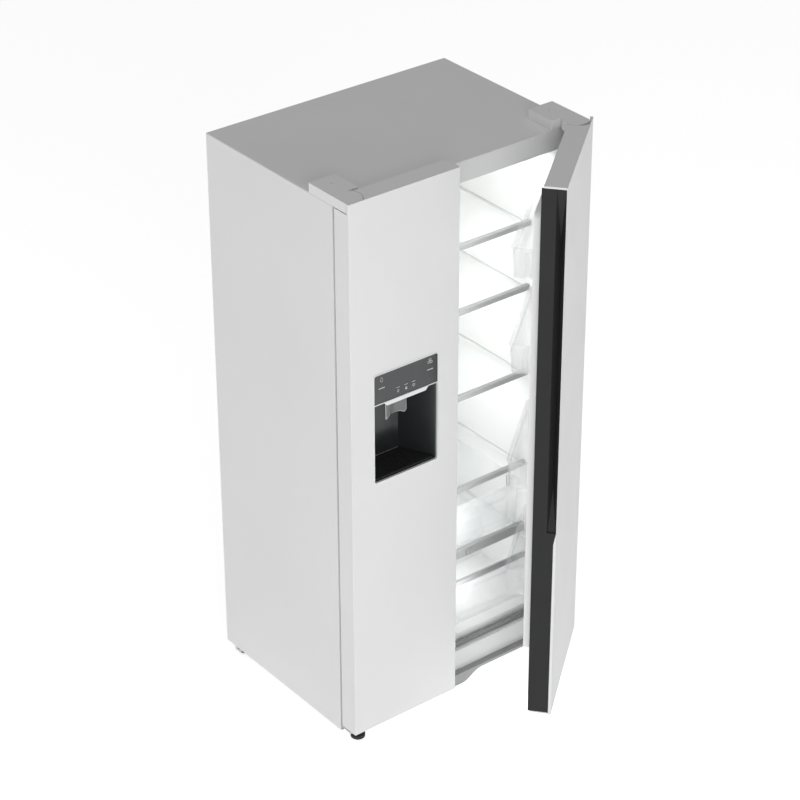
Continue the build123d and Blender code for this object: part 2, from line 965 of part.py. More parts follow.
def make_door_foam(door):
    """Insulation core of a door; the freezer's also fills the bump behind the dispenser."""
    z = (door_bottom + cap_sheet, door_top - cap_sheet)
    room = dispenser_room()
    with BuildPart() as foam:
        block(door.span(hinge_block, door.width - edge_trim), deep(steel, liner_flange[0]), z)
        block(
            door.span(steel, hinge_block),
            deep(steel, liner_flange[0]),
            (hinge_block_low, hinge_block_top),
        )
        if door is freezer_door:
            block(
                (bump_x[0] + plastic, bump_x[1] - plastic),
                deep(liner_flange[0], bump_back - plastic),
                (bump_z[0] + plastic, bump_z[1] - plastic),
            )
            add(room, mode=Mode.SUBTRACT)
    finish(foam, f"{door.name}_foam", door)


def make_door_liner(door):
    """Inner panel of a door with the raised rim that carries the bins."""
    rim = dyke_span(door)
    with BuildPart() as liner:
        block(
            door.span(steel, door.width - edge_lip),
            deep(*liner_flange),
            (door_bottom + cap_sheet, door_top - cap_sheet),
        )
        with BuildSketch(upright(door_thickness)):
            ring_outline(rim, dyke_z, 18, dyke_wall)
        extrude(amount=door_thickness - dyke_reach)
        with BuildSketch(Plane.XY.offset(recess_floor)):
            hinge_recess(door)
        extrude(amount=door_top - recess_floor + 1, mode=Mode.SUBTRACT)
        if door is freezer_door:
            block(bump_x, deep(door_thickness, bump_back), bump_z)
            block(
                (bump_x[0] + plastic, bump_x[1] - plastic),
                deep(liner_flange[0] - 1, bump_back - plastic),
                (bump_z[0] + plastic, bump_z[1] - plastic),
                Mode.SUBTRACT,
            )
            block(
                (chute_x[0] - housing_wall, chute_x[1] + housing_wall),
                deep(chute_y[0] - housing_wall, chute_y[1] + housing_wall),
                (bump_z[1] - plastic - 1, bump_z[1] + 1),
                Mode.SUBTRACT,
            )
    finish(liner, f"{door.name}_liner", door)


def make_door_gasket(door):
    """Magnetic rubber seal that meets the front frame around the compartment."""
    low, high = door.opening
    free_edge = low - gasket_outer if door.side > 0 else high + gasket_outer
    x = sorted((door.x(gasket_hinge_inset), free_edge))
    z = (opening_low - gasket_outer, ceiling + gasket_outer)
    with BuildPart() as gasket:
        with BuildSketch(upright(door_thickness)):
            ring_outline(x, z, 12, gasket_wall)
        extrude(amount=door_thickness - gasket_back)
    finish(gasket, f"{door.name}_gasket", door)


def make_door_bins(door, floors, back_reach, bin_height):
    """Clear bins that hang between the sides of the door liner's rim."""
    rim = dyke_span(door)
    x = (rim[0] + dyke_wall + 0.5, rim[1] - dyke_wall - 0.5)
    with BuildPart() as bins:
        for z in floors:
            tray(x, deep(door_thickness + 1, back_reach), (z, z + bin_height), bin_wall)
    finish(bins, f"{door.name}_bins", door)


# ====================================================================================
# Dispenser
# ====================================================================================
def make_dispenser_housing():
    """Dark tapered cavity with a ceiling opening for the ice and two lugs for the paddle."""
    lug = 4.0
    y, z = paddle_pivot
    with BuildPart() as dispenser_housing:
        with BuildSketch(Plane.XY.offset(cavity_z[0] - housing_wall)):
            housing_outline(bezel_y[1], housing_wall)
        extrude(amount=cavity_z[1] - cavity_z[0] + 2 * housing_wall)
        with BuildSketch(Plane.XY.offset(cavity_z[0])):
            housing_outline(0, 0)
        extrude(amount=cavity_z[1] - cavity_z[0], mode=Mode.SUBTRACT)
        block(chute_x, deep(*chute_y), (cavity_z[1] - 1, cavity_z[1] + 5), Mode.SUBTRACT)
        for x in (paddle_x[0] - 1 - lug, paddle_x[1] + 1):
            block((x, x + lug), deep(y - 6, y + 6), (z - 7, cavity_z[1]))
        rod(
            "X",
            ((paddle_x[0] + paddle_x[1]) / 2, behind(y), z),
            paddle_pin + running,
            paddle_x[1] - paddle_x[0] + 4 * lug,
            Mode.SUBTRACT,
        )
    finish(dispenser_housing, "dispenser_housing", freezer_door)


def make_dispenser_panel():
    """Glossy touch panel above the cavity."""
    corner = bezel_corner - bezel_wall
    with BuildPart() as dispenser_panel:
        block(
            (dispenser_x[0] + bezel_wall, dispenser_x[1] - bezel_wall),
            deep(-0.5, bezel_y[1]),
            (cavity_z[1] + bezel_wall, dispenser_z[1] - bezel_wall),
        )
        fillet(dispenser_panel.edges().filter_by(Axis.Y).group_by(Axis.Z)[-1], corner)
    finish(dispenser_panel, "dispenser_panel", freezer_door)


def make_dispenser_bezel():
    """Bright surround with the cross bar and the lip under the touch panel."""
    lip_half = (78.0, 68.0)
    lip_drop = 10.0
    lip_y = (-2.5, 14.0)
    middle = (dispenser_x[0] + dispenser_x[1]) / 2
    with BuildPart() as dispenser_bezel:
        with BuildSketch(upright(bezel_y[0])):
            ring_outline(dispenser_x, dispenser_z, bezel_corner, bezel_wall)
        extrude(amount=bezel_y[0] - bezel_y[1])
        block(
            (dispenser_x[0] + 1, dispenser_x[1] - 1),
            deep(*bezel_y),
            (cavity_z[1], cavity_z[1] + bezel_wall),
        )
        with BuildSketch(upright(lip_y[0])):
            Polygon(
                (middle - lip_half[0], cavity_z[1]),
                (middle + lip_half[0], cavity_z[1]),
                (middle + lip_half[1], cavity_z[1] - lip_drop),
                (middle - lip_half[1], cavity_z[1] - lip_drop),
                align=None,
            )
        extrude(amount=lip_y[0] - lip_y[1])
        block(
            (middle - lip_half[0], middle + lip_half[0]),
            deep(lip_y[0], bezel_y[0]),
            (cavity_z[1], cavity_z[1] + bezel_wall),
        )
    finish(dispenser_bezel, "dispenser_bezel", freezer_door)


def make_ice_chute():
    """Upright duct that drops ice from the bucket into the dispenser cavity."""
    outer_x = (chute_x[0] - housing_wall, chute_x[1] + housing_wall)
    outer_y = deep(chute_y[0] - housing_wall, chute_y[1] + housing_wall)
    low = cavity_z[1] + housing_wall
    with BuildPart() as ice_chute:
        block(outer_x, outer_y, (low, bump_z[1]))
        block(chute_x, deep(*chute_y), (low - 1, bump_z[1] + 1), Mode.SUBTRACT)
    finish(ice_chute, "ice_chute", freezer_door)


def make_dispenser_paddle():
    """Translucent lever that a glass pushes back; its lower edge is a shallow wave."""
    y, z = paddle_pivot
    left, right = paddle_x
    low = 1056.0
    thick = 3.0
    with BuildPart() as dispenser_paddle:
        with BuildSketch(upright(y - thick / 2)):
            with BuildLine():
                wave = Spline(
                    (left, low),
                    (left + 20, low + 13),
                    (left + 50, low + 10),
                    (right - 5, low + 2),
                    (right, low + 9),
                )
                Polyline(wave @ 1, (right, z), (left, z), wave @ 0)
            make_face()
        extrude(amount=-thick)
        rod("X", ((left + right) / 2, behind(y), z), 3, right - left)
        rod("X", ((left + right) / 2, behind(y), z), paddle_pin, right - left + 8)
    finish(dispenser_paddle, "dispenser_paddle", freezer_door)


def make_ice_flap():
    """Insulated flap that closes the chute until the paddle is pressed."""
    y, z = flap_pivot
    with BuildPart() as ice_flap:
        block((chute_x[0] + 1, chute_x[1] - 1), deep(chute_y[0] + 1, y), (z - 1, z + 1))
        rod("X", ((chute_x[0] + chute_x[1]) / 2, behind(y), z), 1.5, chute_x[1] - chute_x[0] - 2)
    finish(ice_flap, "ice_flap", freezer_door)


def make_drip_grille():
    """Slotted drip tray that slides out of the cavity's floor."""
    near, far = 9.0, 106.0
    clear = 3.0
    taper = (cavity_back[0] - cavity_mouth[0]) / cavity_depth
    slots = 9
    with BuildPart() as drip_grille:
        with BuildSketch(Plane.XY.offset(cavity_z[0] + 0.5)):
            Polygon(
                (cavity_mouth[0] + taper * near + clear, behind(near)),
                (cavity_mouth[1] - taper * near - clear, behind(near)),
                (cavity_mouth[1] - taper * far - clear, behind(far)),
                (cavity_mouth[0] + taper * far + clear, behind(far)),
                align=None,
            )
        extrude(amount=6)
        for step in range(slots):
            y = near + 14 + step * 8
            block(
                (cavity_back[0] + 12, cavity_back[1] - 12),
                deep(y, y + 4),
                (cavity_z[0] - 1, cavity_z[0] + 8),
                Mode.SUBTRACT,
            )
    finish(drip_grille, "drip_grille", freezer_door)


# ====================================================================================
# Hinges, feet and rollers
# ====================================================================================
plate_sheet = 4.0
bracket_z = (38.0, 42.0)
foot_x = 388.0
foot_y = 44.0
foot_radius = 22.0
cover_x = (341.0, half)
cover_y = (cabinet_front + 1.5, 176.0)
cover_wall = 2.5
tongue_wide = 46.5
tongue_round = 35.5


def make_top_hinges():
    """Hinge plates on the cabinet's top with the pins that hang into the doors."""
    x, y = fridge_door.hinge
    with BuildPart() as top_hinges:
        with BuildSketch(Plane.XY.offset(cabinet_top)):
            with Locations((x, y)):
                Circle(17)
            with Locations((x, y + 57)):
                Rectangle(34, 114)
            with Locations((x - 16, y + 90)):
                Rectangle(60, 60)
        extrude(amount=plate_sheet)
        rod("Z", (x, y, (pin_top_low + cabinet_top) / 2), hinge_pin, cabinet_top - pin_top_low)
        mirror(about=Plane.YZ)
    finish(top_hinges, "top_hinges")


def cover_outline(inset):
    """Plan outline of the right hinge cover: a block behind the door and a rounded tongue."""
    x, y = fridge_door.hinge
    side = cover_x[1]
    with Locations((x, y)):
        Circle(tongue_wide - inset)
    with Locations((x + tongue_wide, y)):
        Rectangle(2 * tongue_wide, 3 * tongue_wide, mode=Mode.SUBTRACT)
    with Locations((x, y)):
        Circle(tongue_round - inset)
    with Locations((x, y - tongue_round - tongue_wide + inset)):
        Rectangle(4 * tongue_wide, 2 * tongue_wide, mode=Mode.SUBTRACT)
    neck = (x - 26 + inset, side - inset, y + 10, behind(cover_y[0]) + 2 * inset + 1)
    body = (cover_x[0] + inset, side - inset, behind(cover_y[0]) + inset, behind(cover_y[1]) - inset)
    for left, right, near, far in (neck, body):
        with Locations(((left + right) / 2, (near + far) / 2)):
            Rectangle(right - left, far - near)
    with Locations((side + tongue_wide - inset, y)):
        Rectangle(2 * tongue_wide, 8 * tongue_wide, mode=Mode.SUBTRACT)


def make_hinge_covers():
    """Moulded covers over the top hinges, level with the doors' tops."""
    with BuildPart() as hinge_covers:
        with BuildSketch(Plane.XY.offset(cabinet_top)):
            cover_outline(0)
        extrude(amount=door_top - cabinet_top)
        with BuildSketch(Plane.XY.offset(cabinet_top)):
            cover_outline(cover_wall)
        extrude(amount=door_top - cabinet_top - cover_wall, mode=Mode.SUBTRACT)
        mirror(about=Plane.YZ)
    finish(hinge_covers, "hinge_covers")


def make_bottom_hinges():
    """Brackets under the doors with upright pins and threaded seats for the front feet."""
    x, y = fridge_door.hinge
    bracket_x = (x - 61, half - 1)
    with BuildPart() as bottom_hinges:
        block(bracket_x, deep(14, cabinet_front), bracket_z)
        corner = bottom_hinges.edges().filter_by(Axis.Z).group_by(Axis.Y)[0]
        chamfer(corner, 12)
        block(bracket_x, deep(cabinet_front - 3, cabinet_front), (cabinet_bottom + 1, bracket_z[1]))
        rod("Z", (x, y, (bracket_z[0] + pin_bottom_top) / 2), hinge_pin, pin_bottom_top - bracket_z[0])
        rod("Z", (foot_x, behind(foot_y), 40), foot_stem + running, 20, Mode.SUBTRACT)
        mirror(about=Plane.YZ)
    finish(bottom_hinges, "bottom_hinges")


def make_front_foot(side, label):
    """Levelling foot: a ribbed disc on a screw stem."""
    disc_top = 12.0
    stem_top = 44.0
    x = side * foot_x
    with BuildPart() as foot:
        rod("Z", (x, behind(foot_y), disc_top / 2), foot_radius, disc_top)
        chamfer(foot.edges().group_by(Axis.Z)[0], 2)
        rod("Z", (x, behind(foot_y), (disc_top + stem_top) / 2), foot_stem, stem_top - disc_top)
        rod("Z", (x, behind(foot_y), 22), 8, 12)
    finish(foot, label)


def make_rear_roller(side, label):
    """Transport roller turning with its axle in the base pan's ears."""
    x = side * roller_x
    with BuildPart() as roller:
        rod("X", (x, behind(roller_depth), roller_radius), roller_radius, roller_width)
        chamfer(roller.edges().filter_by(GeomType.CIRCLE), 1.5)
        rod("X", (x, behind(roller_depth), roller_radius), axle_pin, roller_width + 18)
    finish(roller, label)


# ====================================================================================
# Build every piece
# ====================================================================================
make_cabinet_shell()
make_liner(freezer_x, "freezer_liner")
make_liner(fridge_x, "fridge_liner")
make_cabinet_foam()
make_front_frame()
make_back_panel()
make_base_pan()
make_kick_plate()
make_machine_cover()
make_compressor()
make_condenser_coil()
make_evaporator()
make_drip_pan()
make_power_inlet()
make_water_valve()
make_drive_motors()
make_fan(
    "condenser_fan",
    Location((condenser_fan_x, behind(fan_y), condenser_fan_z), (0, 90, 0)),
)
make_fan(
    "evaporator_fan",
    Location((evaporator_fan_x, behind(evaporator_fan_y), evaporator_fan_z), (90, 0, 0)),
)
make_freezer_duct_cover()
make_freezer_shelves()
make_ice_maker()
make_ice_bucket()
make_ice_auger()
make_drawer("freezer_drawer_upper", (-366, -86), deep(180, 510), (579, 792), (760, 790))
make_drawer("freezer_drawer_lower", (-366, -86), deep(180, 510), (326, 548), (516, 546))
make_fridge_duct_cover()
make_glass_shelves()
make_shelf_trims()
make_interior_lamps()
make_humidity_slider()
make_drawer("crisper_drawer_upper", (-8, 377), deep(206, 560), (374, 524), (508, 524))
make_drawer("crisper_drawer_lower", (-8, 377), deep(128, 394), (154, 324), (306, 324))
make_top_hinges()
make_hinge_covers()
make_bottom_hinges()
make_front_foot(-1, "front_foot_left")
make_front_foot(1, "front_foot_right")
make_rear_roller(-1, "rear_roller_left")
make_rear_roller(1, "rear_roller_right")
for door in doors:
    make_door_skin(door)
    make_door_foam(door)
    make_door_liner(door)
    make_door_gasket(door)
    make_door_grip(door)
    make_door_caps(door)
make_door_bins(fridge_door, fridge_bin_floors, 160, 96)
make_door_bins(freezer_door, freezer_bin_floors, 140, 96)
make_dispenser_housing()
make_dispenser_panel()
make_dispenser_bezel()
make_ice_chute()
make_dispenser_paddle()
make_ice_flap()
make_drip_grille()
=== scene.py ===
"""Looks of the side-by-side refrigerator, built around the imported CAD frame. Metres, +Z up."""

import json
import math

import bmesh
import bpy
from mathutils import Matrix, Vector


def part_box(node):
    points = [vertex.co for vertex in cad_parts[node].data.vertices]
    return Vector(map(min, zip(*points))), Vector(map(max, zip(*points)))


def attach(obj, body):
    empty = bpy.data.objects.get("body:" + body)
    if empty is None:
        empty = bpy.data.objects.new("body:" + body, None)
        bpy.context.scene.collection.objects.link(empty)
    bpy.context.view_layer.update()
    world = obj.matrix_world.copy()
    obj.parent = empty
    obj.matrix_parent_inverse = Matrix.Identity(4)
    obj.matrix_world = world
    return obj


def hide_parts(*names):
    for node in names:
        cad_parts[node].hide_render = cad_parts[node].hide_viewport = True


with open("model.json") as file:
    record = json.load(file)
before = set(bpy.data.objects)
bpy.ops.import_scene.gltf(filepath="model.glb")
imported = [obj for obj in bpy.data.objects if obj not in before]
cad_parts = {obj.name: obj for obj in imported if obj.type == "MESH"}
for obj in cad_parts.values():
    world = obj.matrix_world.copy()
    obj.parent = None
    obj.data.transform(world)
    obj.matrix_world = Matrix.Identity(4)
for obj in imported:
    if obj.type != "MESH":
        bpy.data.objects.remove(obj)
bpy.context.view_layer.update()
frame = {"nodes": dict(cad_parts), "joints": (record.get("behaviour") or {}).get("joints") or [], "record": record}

nodes = frame["nodes"]
joints = {j["name"]: j for j in frame["joints"]}
front_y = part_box("freezer_door_skin")[0].y
fridge_swing = joints["fridge_door_swing"]
ajar = math.radians(-fridge_swing["range_deg"][0])
hinge = Vector(fridge_swing["pos_m"])
opened = (
    Matrix.Translation(hinge) @ Matrix.Rotation(ajar, 4, "Z") @ Matrix.Translation(-hinge)
)

# Solids of one node that lie further apart in height than this are separate shelves.
shelf_gap = 0.05

# ---- camera, placed from the front face of the doors ------------------------------------
camera_x = -4.2116
camera_behind = -5.0604
camera_z = 4.8912
camera_azimuth = math.radians(-37.99)
camera_elevation = math.radians(30.33)
camera_roll = math.radians(-0.159)
lens_mm = 120.17
sensor_mm = 36.0


# =======================================================================================
# Materials
# =======================================================================================
class Shader:
    """A material with one Principled shader, built up from named pieces of its node tree."""

    def __init__(self, name):
        self.material = bpy.data.materials.new(name)
        self.material.use_nodes = True
        self.tree = self.material.node_tree
        self.tree.nodes.clear()
        self.out = self.add("ShaderNodeOutputMaterial")
        self.bsdf = self.add("ShaderNodeBsdfPrincipled")
        self.link(self.bsdf, "BSDF", self.out, "Surface")
        self.coords = self.add("ShaderNodeTexCoord")

    def add(self, kind, **values):
        """A new node of a kind, with its properties set."""
        node = self.tree.nodes.new(kind)
        for key, value in values.items():
            setattr(node, key, value)
        return node

    def link(self, source, out_name, target, in_name):
        self.tree.links.new(source.outputs[out_name], target.inputs[in_name])

    def set(self, **values):
        """Sets constants on the shader's own sockets, with _ for a space in their names."""
        for key, value in values.items():
            self.bsdf.inputs[key.replace("_", " ")].default_value = value

    def stretched(self, scale):
        """Object coordinates scaled along each axis."""
        mapping = self.add("ShaderNodeMapping")
        mapping.inputs["Scale"].default_value = scale
        self.link(self.coords, "Object", mapping, "Vector")
        return mapping

    def noise(self, scale, detail=3.0, roughness=0.55, stretch=(1, 1, 1)):
        """A noise texture in object coordinates."""
        node = self.add("ShaderNodeTexNoise")
        node.inputs["Scale"].default_value = scale
        node.inputs["Detail"].default_value = detail
        node.inputs["Roughness"].default_value = roughness
        self.link(self.stretched(stretch), "Vector", node, "Vector")
        return node

    def remap(self, source, out_name, low, high, in_low=0.0, in_high=1.0):
        """Maps the range in_low to in_high of an output onto low to high."""
        node = self.add("ShaderNodeMapRange")
        node.inputs["From Min"].default_value = in_low
        node.inputs["From Max"].default_value = in_high
        node.inputs["To Min"].default_value = low
        node.inputs["To Max"].default_value = high
        self.link(source, out_name, node, "Value")
        return node

    def mix(self, factor, factor_out, a, b):
        """Mixes two colours, each a plain colour or a node with a Color or Result output."""
        node = self.add("ShaderNodeMix", data_type="RGBA")
        self.tree.links.new(factor.outputs[factor_out], node.inputs["Factor"])
        for socket, value in (("A", a), ("B", b)):
            target = colour_input(node, socket)
            if isinstance(value, tuple):
                target.default_value = (*value, 1.0)
            else:
                self.tree.links.new(colour_output(value), target)
        return node

    def edges(self, radius, samples=4):
        """A softened normal, and a mask that is bright along the part's edges."""
        bevel = self.add("ShaderNodeBevel", samples=samples)
        bevel.inputs["Radius"].default_value = radius
        geometry = self.add("ShaderNodeNewGeometry")
        dot = self.add("ShaderNodeVectorMath", operation="DOT_PRODUCT")
        self.tree.links.new(bevel.outputs["Normal"], dot.inputs[0])
        self.tree.links.new(geometry.outputs["Normal"], dot.inputs[1])
        mask = self.remap(dot, "Value", 1.0, 0.0, 0.72, 0.995)
        return bevel, mask

    def bump(self, source, out_name, distance, under=None):
        """Relief of a height in metres, laid over another normal where one is given."""
        node = self.add("ShaderNodeBump")
        node.inputs["Distance"].default_value = distance
        node.inputs["Strength"].default_value = 1.0
        self.link(source, out_name, node, "Height")
        if under is not None:
            self.link(under, "Normal", node, "Normal")
        return node


def colour_input(node, name):
    """The colour socket of a mix node that has this name."""
    return [socket for socket in node.inputs if socket.name == name and socket.type == "RGBA"][0]


def colour_output(node):
    """The colour output of a node, or its first output if it has none."""
    for name in ("Result", "Color"):
        for socket in node.outputs:
            if socket.name == name and socket.type == "RGBA":
                return socket
    return node.outputs[0]


def solid_finish(
    name,
    base,
    spread=0.03,
    roughness=(0.32, 0.42),
    peel=(260.0, 0.00003),
    grain=(1800.0, 0.000012),
    wear_and_highlight_colour=None,
    wear_and_highlight_share=0.35,
    bevel=0.0011,
    metallic=0.0,
    coat=0.0,
    specular=0.5,
    patch=2.2,
    stretch=(1, 1, 1),
):
    """Opaque finish: drifting colour, edges lightened partly by wear and partly as a painted highlight, uneven
    gloss and two scales of bump.
    """
    s = Shader(name)
    s.set(Metallic=metallic, Coat_Weight=coat, Coat_Roughness=0.12, Specular_IOR_Level=specular)
    soft, edge_mask = s.edges(bevel)
    darker = tuple(c * (1 - spread) for c in base)
    lighter = tuple(min(1.0, c * (1 + spread)) for c in base)
    broad = s.noise(patch, 4.0)
    fine = s.noise(grain[0], 2.0, stretch=stretch)
    broad_colour = s.mix(s.remap(broad, "Fac", 0, 1, 0.35, 0.65), "Result", darker, lighter)
    speck = s.remap(fine, "Fac", 0.0, spread * 2.0, 0.45, 0.75)
    colour = s.mix(speck, "Result", broad_colour, tuple(c * 0.55 for c in base))
    # Edges are mixed towards a paler colour, broken up by noise: partly wear, partly a painted edge highlight.
    if wear_and_highlight_colour is not None:
        rub = s.noise(90.0, 5.0, 0.7)
        wear_and_highlight = s.add("ShaderNodeMath", operation="MULTIPLY")
        s.link(edge_mask, "Result", wear_and_highlight, 0)
        s.link(s.remap(rub, "Fac", 0.0, wear_and_highlight_share, 0.35, 0.65), "Result", wear_and_highlight, 1)
        colour = s.mix(wear_and_highlight, "Value", colour, wear_and_highlight_colour)
    s.tree.links.new(colour_output(colour), s.bsdf.inputs["Base Color"])
    smudge = s.noise(7.0, 6.0, 0.62)
    gloss = s.remap(smudge, "Fac", roughness[0], roughness[1], 0.3, 0.7)
    s.link(gloss, "Result", s.bsdf, "Roughness")
    wave = s.bump(s.noise(peel[0], 2.0, stretch=stretch), "Fac", peel[1], under=soft)
    top = s.bump(fine, "Fac", grain[1], under=wave)
    s.link(top, "Normal", s.bsdf, "Normal")
    return s


def clear_finish(name, tint, glancing_shade_tint, roughness, scratch, alpha, transmission, ior=1.49):
    """Clear plastic or glass: tinted, a little uneven, finely scratched, with painted shade darkening it at
    glancing angles.
    """
    s = Shader(name)
    s.set(Transmission_Weight=transmission, IOR=ior, Alpha=alpha)
    facing = s.add("ShaderNodeLayerWeight")
    facing.inputs["Blend"].default_value = 0.35
    drift = s.noise(9.0, 4.0)
    body = s.mix(s.remap(drift, "Fac", 0, 1, 0.3, 0.7), "Result", tint, tuple(c * 0.97 for c in tint))
    # Painted shade: the colour moves towards the darker glancing tint where the surface faces away from view.
    colour = s.mix(s.remap(facing, "Facing", 0, 0.7, 0.3, 1.0), "Result", body, glancing_shade_tint)
    s.tree.links.new(colour_output(colour), s.bsdf.inputs["Base Color"])
    lines = s.noise(60.0, 6.0, 0.7, stretch=(1, 14, 14))
    s.link(s.remap(lines, "Fac", roughness[0], roughness[1], 0.35, 0.75), "Result", s.bsdf, "Roughness")
    s.link(s.bump(lines, "Fac", scratch), "Normal", s.bsdf, "Normal")
    return s


def glow_finish(name, base, strength, ribs):
    """Lamp lens: a ribbed diffusing cover that glows evenly."""
    s = Shader(name)
    waves = s.add("ShaderNodeTexWave", bands_direction="X")
    waves.inputs["Scale"].default_value = ribs
    waves.inputs["Distortion"].default_value = 0.15
    s.link(s.coords, "Object", waves, "Vector")
    colour = s.mix(waves, "Fac", tuple(c * 0.88 for c in base), base)
    s.tree.links.new(colour_output(colour), s.bsdf.inputs["Base Color"])
    s.tree.links.new(colour_output(colour), s.bsdf.inputs["Emission Color"])
    s.set(Emission_Strength=strength, Roughness=0.4)
    s.link(s.bump(waves, "Fac", 0.0006), "Normal", s.bsdf, "Normal")
    return s


def spangled_steel(name, base):
    """Galvanised sheet: zinc crystals of differing gloss over a faint rolling grain."""
    s = solid_finish(name, base, 0.05, (0.34, 0.5), (700.0, 0.00002), metallic=0.85,
                     wear_and_highlight_colour=(0.75, 0.76, 0.77), stretch=(1, 1, 8))
    cells = s.add("ShaderNodeTexVoronoi")
    cells.inputs["Scale"].default_value = 95.0
    s.link(s.coords, "Object", cells, "Vector")
    tone = s.add("ShaderNodeSeparateColor")
    s.link(cells, "Color", tone, "Color")
    old = s.bsdf.inputs["Base Color"].links[0].from_socket
    shade = s.add("ShaderNodeMix", data_type="RGBA", blend_type="MULTIPLY")
    shade.inputs["Factor"].default_value = 0.28
    s.tree.links.new(old, colour_input(shade, "A"))
    s.tree.links.new(cells.outputs["Color"], colour_input(shade, "B"))
    grey = s.add("ShaderNodeHueSaturation")
    grey.inputs["Saturation"].default_value = 0.0
    s.tree.links.new(colour_output(shade), grey.inputs["Color"])
    s.tree.links.new(grey.outputs["Color"], s.bsdf.inputs["Base Color"])
    s.link(s.remap(tone, "Red", 0.3, 0.55), "Result", s.bsdf, "Roughness")
    return s


white = (0.808, 0.808, 0.808)
finishes = {
    "white_paint": solid_finish(
        "white_paint", white, 0.012, (0.34, 0.46), (330.0, 0.000035), wear_and_highlight_colour=(0.88, 0.88, 0.88),
        specular=0.14,
    ),
    "frame_paint": solid_finish(
        "frame_paint", (0.76, 0.763, 0.762), 0.015, (0.36, 0.46), wear_and_highlight_colour=(0.84, 0.85, 0.84), specular=0.2
    ),
    "liner_plastic": solid_finish(
        "liner_plastic", (0.86, 0.865, 0.86), 0.010, (0.33, 0.38), (120.0, 0.00004),
        wear_and_highlight_colour=(0.92, 0.92, 0.92), coat=0.1, specular=0.3,
    ),
    "galvanised": spangled_steel("galvanised", (0.56, 0.57, 0.58)),
    "foam": solid_finish("foam", (0.80, 0.72, 0.48), 0.09, (0.85, 0.98), (160.0, 0.0008)),
    "dark_plastic": solid_finish(
        "dark_plastic", (0.026, 0.026, 0.027), 0.05, (0.45, 0.58), (900.0, 0.00005),
        wear_and_highlight_colour=(0.05, 0.05, 0.052), wear_and_highlight_share=0.6, specular=0.2,
    ),
    "black_paint": solid_finish(
        "black_paint", (0.018, 0.018, 0.019), 0.1, (0.28, 0.45), (300.0, 0.00008),
        wear_and_highlight_colour=(0.09, 0.09, 0.09), coat=0.3,
    ),
    "copper_tube": solid_finish(
        "copper_tube", (0.62, 0.60, 0.57), 0.06, (0.3, 0.45), metallic=1.0, wear_and_highlight_colour=(0.8, 0.79, 0.77)
    ),
    "grey_plastic": solid_finish(
        "grey_plastic", (0.33, 0.334, 0.336), 0.03, (0.36, 0.48), (800.0, 0.00004),
        wear_and_highlight_colour=(0.45, 0.455, 0.458),
    ),
    "seal_rubber": solid_finish(
        "seal_rubber", (0.62, 0.63, 0.625), 0.04, (0.55, 0.7), (500.0, 0.00006), wear_and_highlight_colour=(0.7, 0.7, 0.7)
    ),
    "hinge_steel": solid_finish(
        "hinge_steel", (0.55, 0.555, 0.56), 0.05, (0.25, 0.42), (420.0, 0.00003), metallic=0.9,
        wear_and_highlight_colour=(0.78, 0.78, 0.79), stretch=(1, 12, 1),
    ),
    "cavity_plastic": solid_finish(
        "cavity_plastic", (0.022, 0.024, 0.025), 0.05, (0.16, 0.30), (260.0, 0.00002),
        wear_and_highlight_colour=(0.05, 0.052, 0.055), coat=0.4,
    ),
    "panel_plastic": solid_finish(
        "panel_plastic", (0.058, 0.060, 0.062), 0.04, (0.12, 0.22), (180.0, 0.00001),
        wear_and_highlight_colour=(0.11, 0.115, 0.12), coat=0.25, specular=0.4,
    ),
    "bezel_metal": solid_finish(
        "bezel_metal", (0.84, 0.845, 0.85), 0.02, (0.24, 0.36), (900.0, 0.00002), metallic=0.15,
        wear_and_highlight_colour=(0.93, 0.93, 0.93), stretch=(20, 1, 1),
    ),
    # Painted highlight: the pale edge colour spread wide round the paddle stands in for its bright rim.
    "paddle_plastic": solid_finish(
        "paddle_plastic", (0.13, 0.133, 0.136), 0.05, (0.14, 0.24), (300.0, 0.00002),
        wear_and_highlight_colour=(0.56, 0.57, 0.58), wear_and_highlight_share=0.8, coat=0.8,
    ),
    "foot_rubber": solid_finish(
        "foot_rubber", (0.022, 0.022, 0.022), 0.12, (0.6, 0.8), (700.0, 0.0001),
        wear_and_highlight_colour=(0.06, 0.06, 0.06),
    ),
    "roller_plastic": solid_finish(
        "roller_plastic", (0.05, 0.05, 0.05), 0.1, (0.45, 0.6), (600.0, 0.00006),
        wear_and_highlight_colour=(0.12, 0.12, 0.12),
    ),
    "motor_metal": solid_finish(
        "motor_metal", (0.36, 0.365, 0.37), 0.06, (0.3, 0.45), metallic=0.8, wear_and_highlight_colour=(0.6, 0.6, 0.61)
    ),
    "clear_plastic": clear_finish(
        "clear_plastic", (0.88, 0.895, 0.90), (0.40, 0.42, 0.43), (0.04, 0.12), 0.00002, 0.22, 0.35
    ),
    "shelf_glass": clear_finish(
        "shelf_glass", (0.93, 0.955, 0.945), (0.50, 0.66, 0.60), (0.02, 0.07), 0.000006, 0.15, 0.2, 1.5
    ),
    "lamp_cover": glow_finish("lamp_cover", (0.97, 0.97, 0.94), 2.2, 60.0),
    "icon_print": solid_finish(
        "icon_print", (0.62, 0.64, 0.66), 0.04, (0.3, 0.4), (900.0, 0.00001), bevel=0.0002
    ),
    "rail_grey": solid_finish(
        "rail_grey", (0.25, 0.256, 0.258), 0.04, (0.28, 0.40), (700.0, 0.00003),
        wear_and_highlight_colour=(0.36, 0.365, 0.37), coat=0.1,
    ),
}


def dress(obj, *names):
    """Gives an object its finishes, one per material slot."""
    obj.data.materials.clear()
    for name in names:
        obj.data.materials.append(finishes[name].material)


for entry in frame["record"]["subparts"]:
    dress(nodes[entry["node"]], entry["material_slot"])


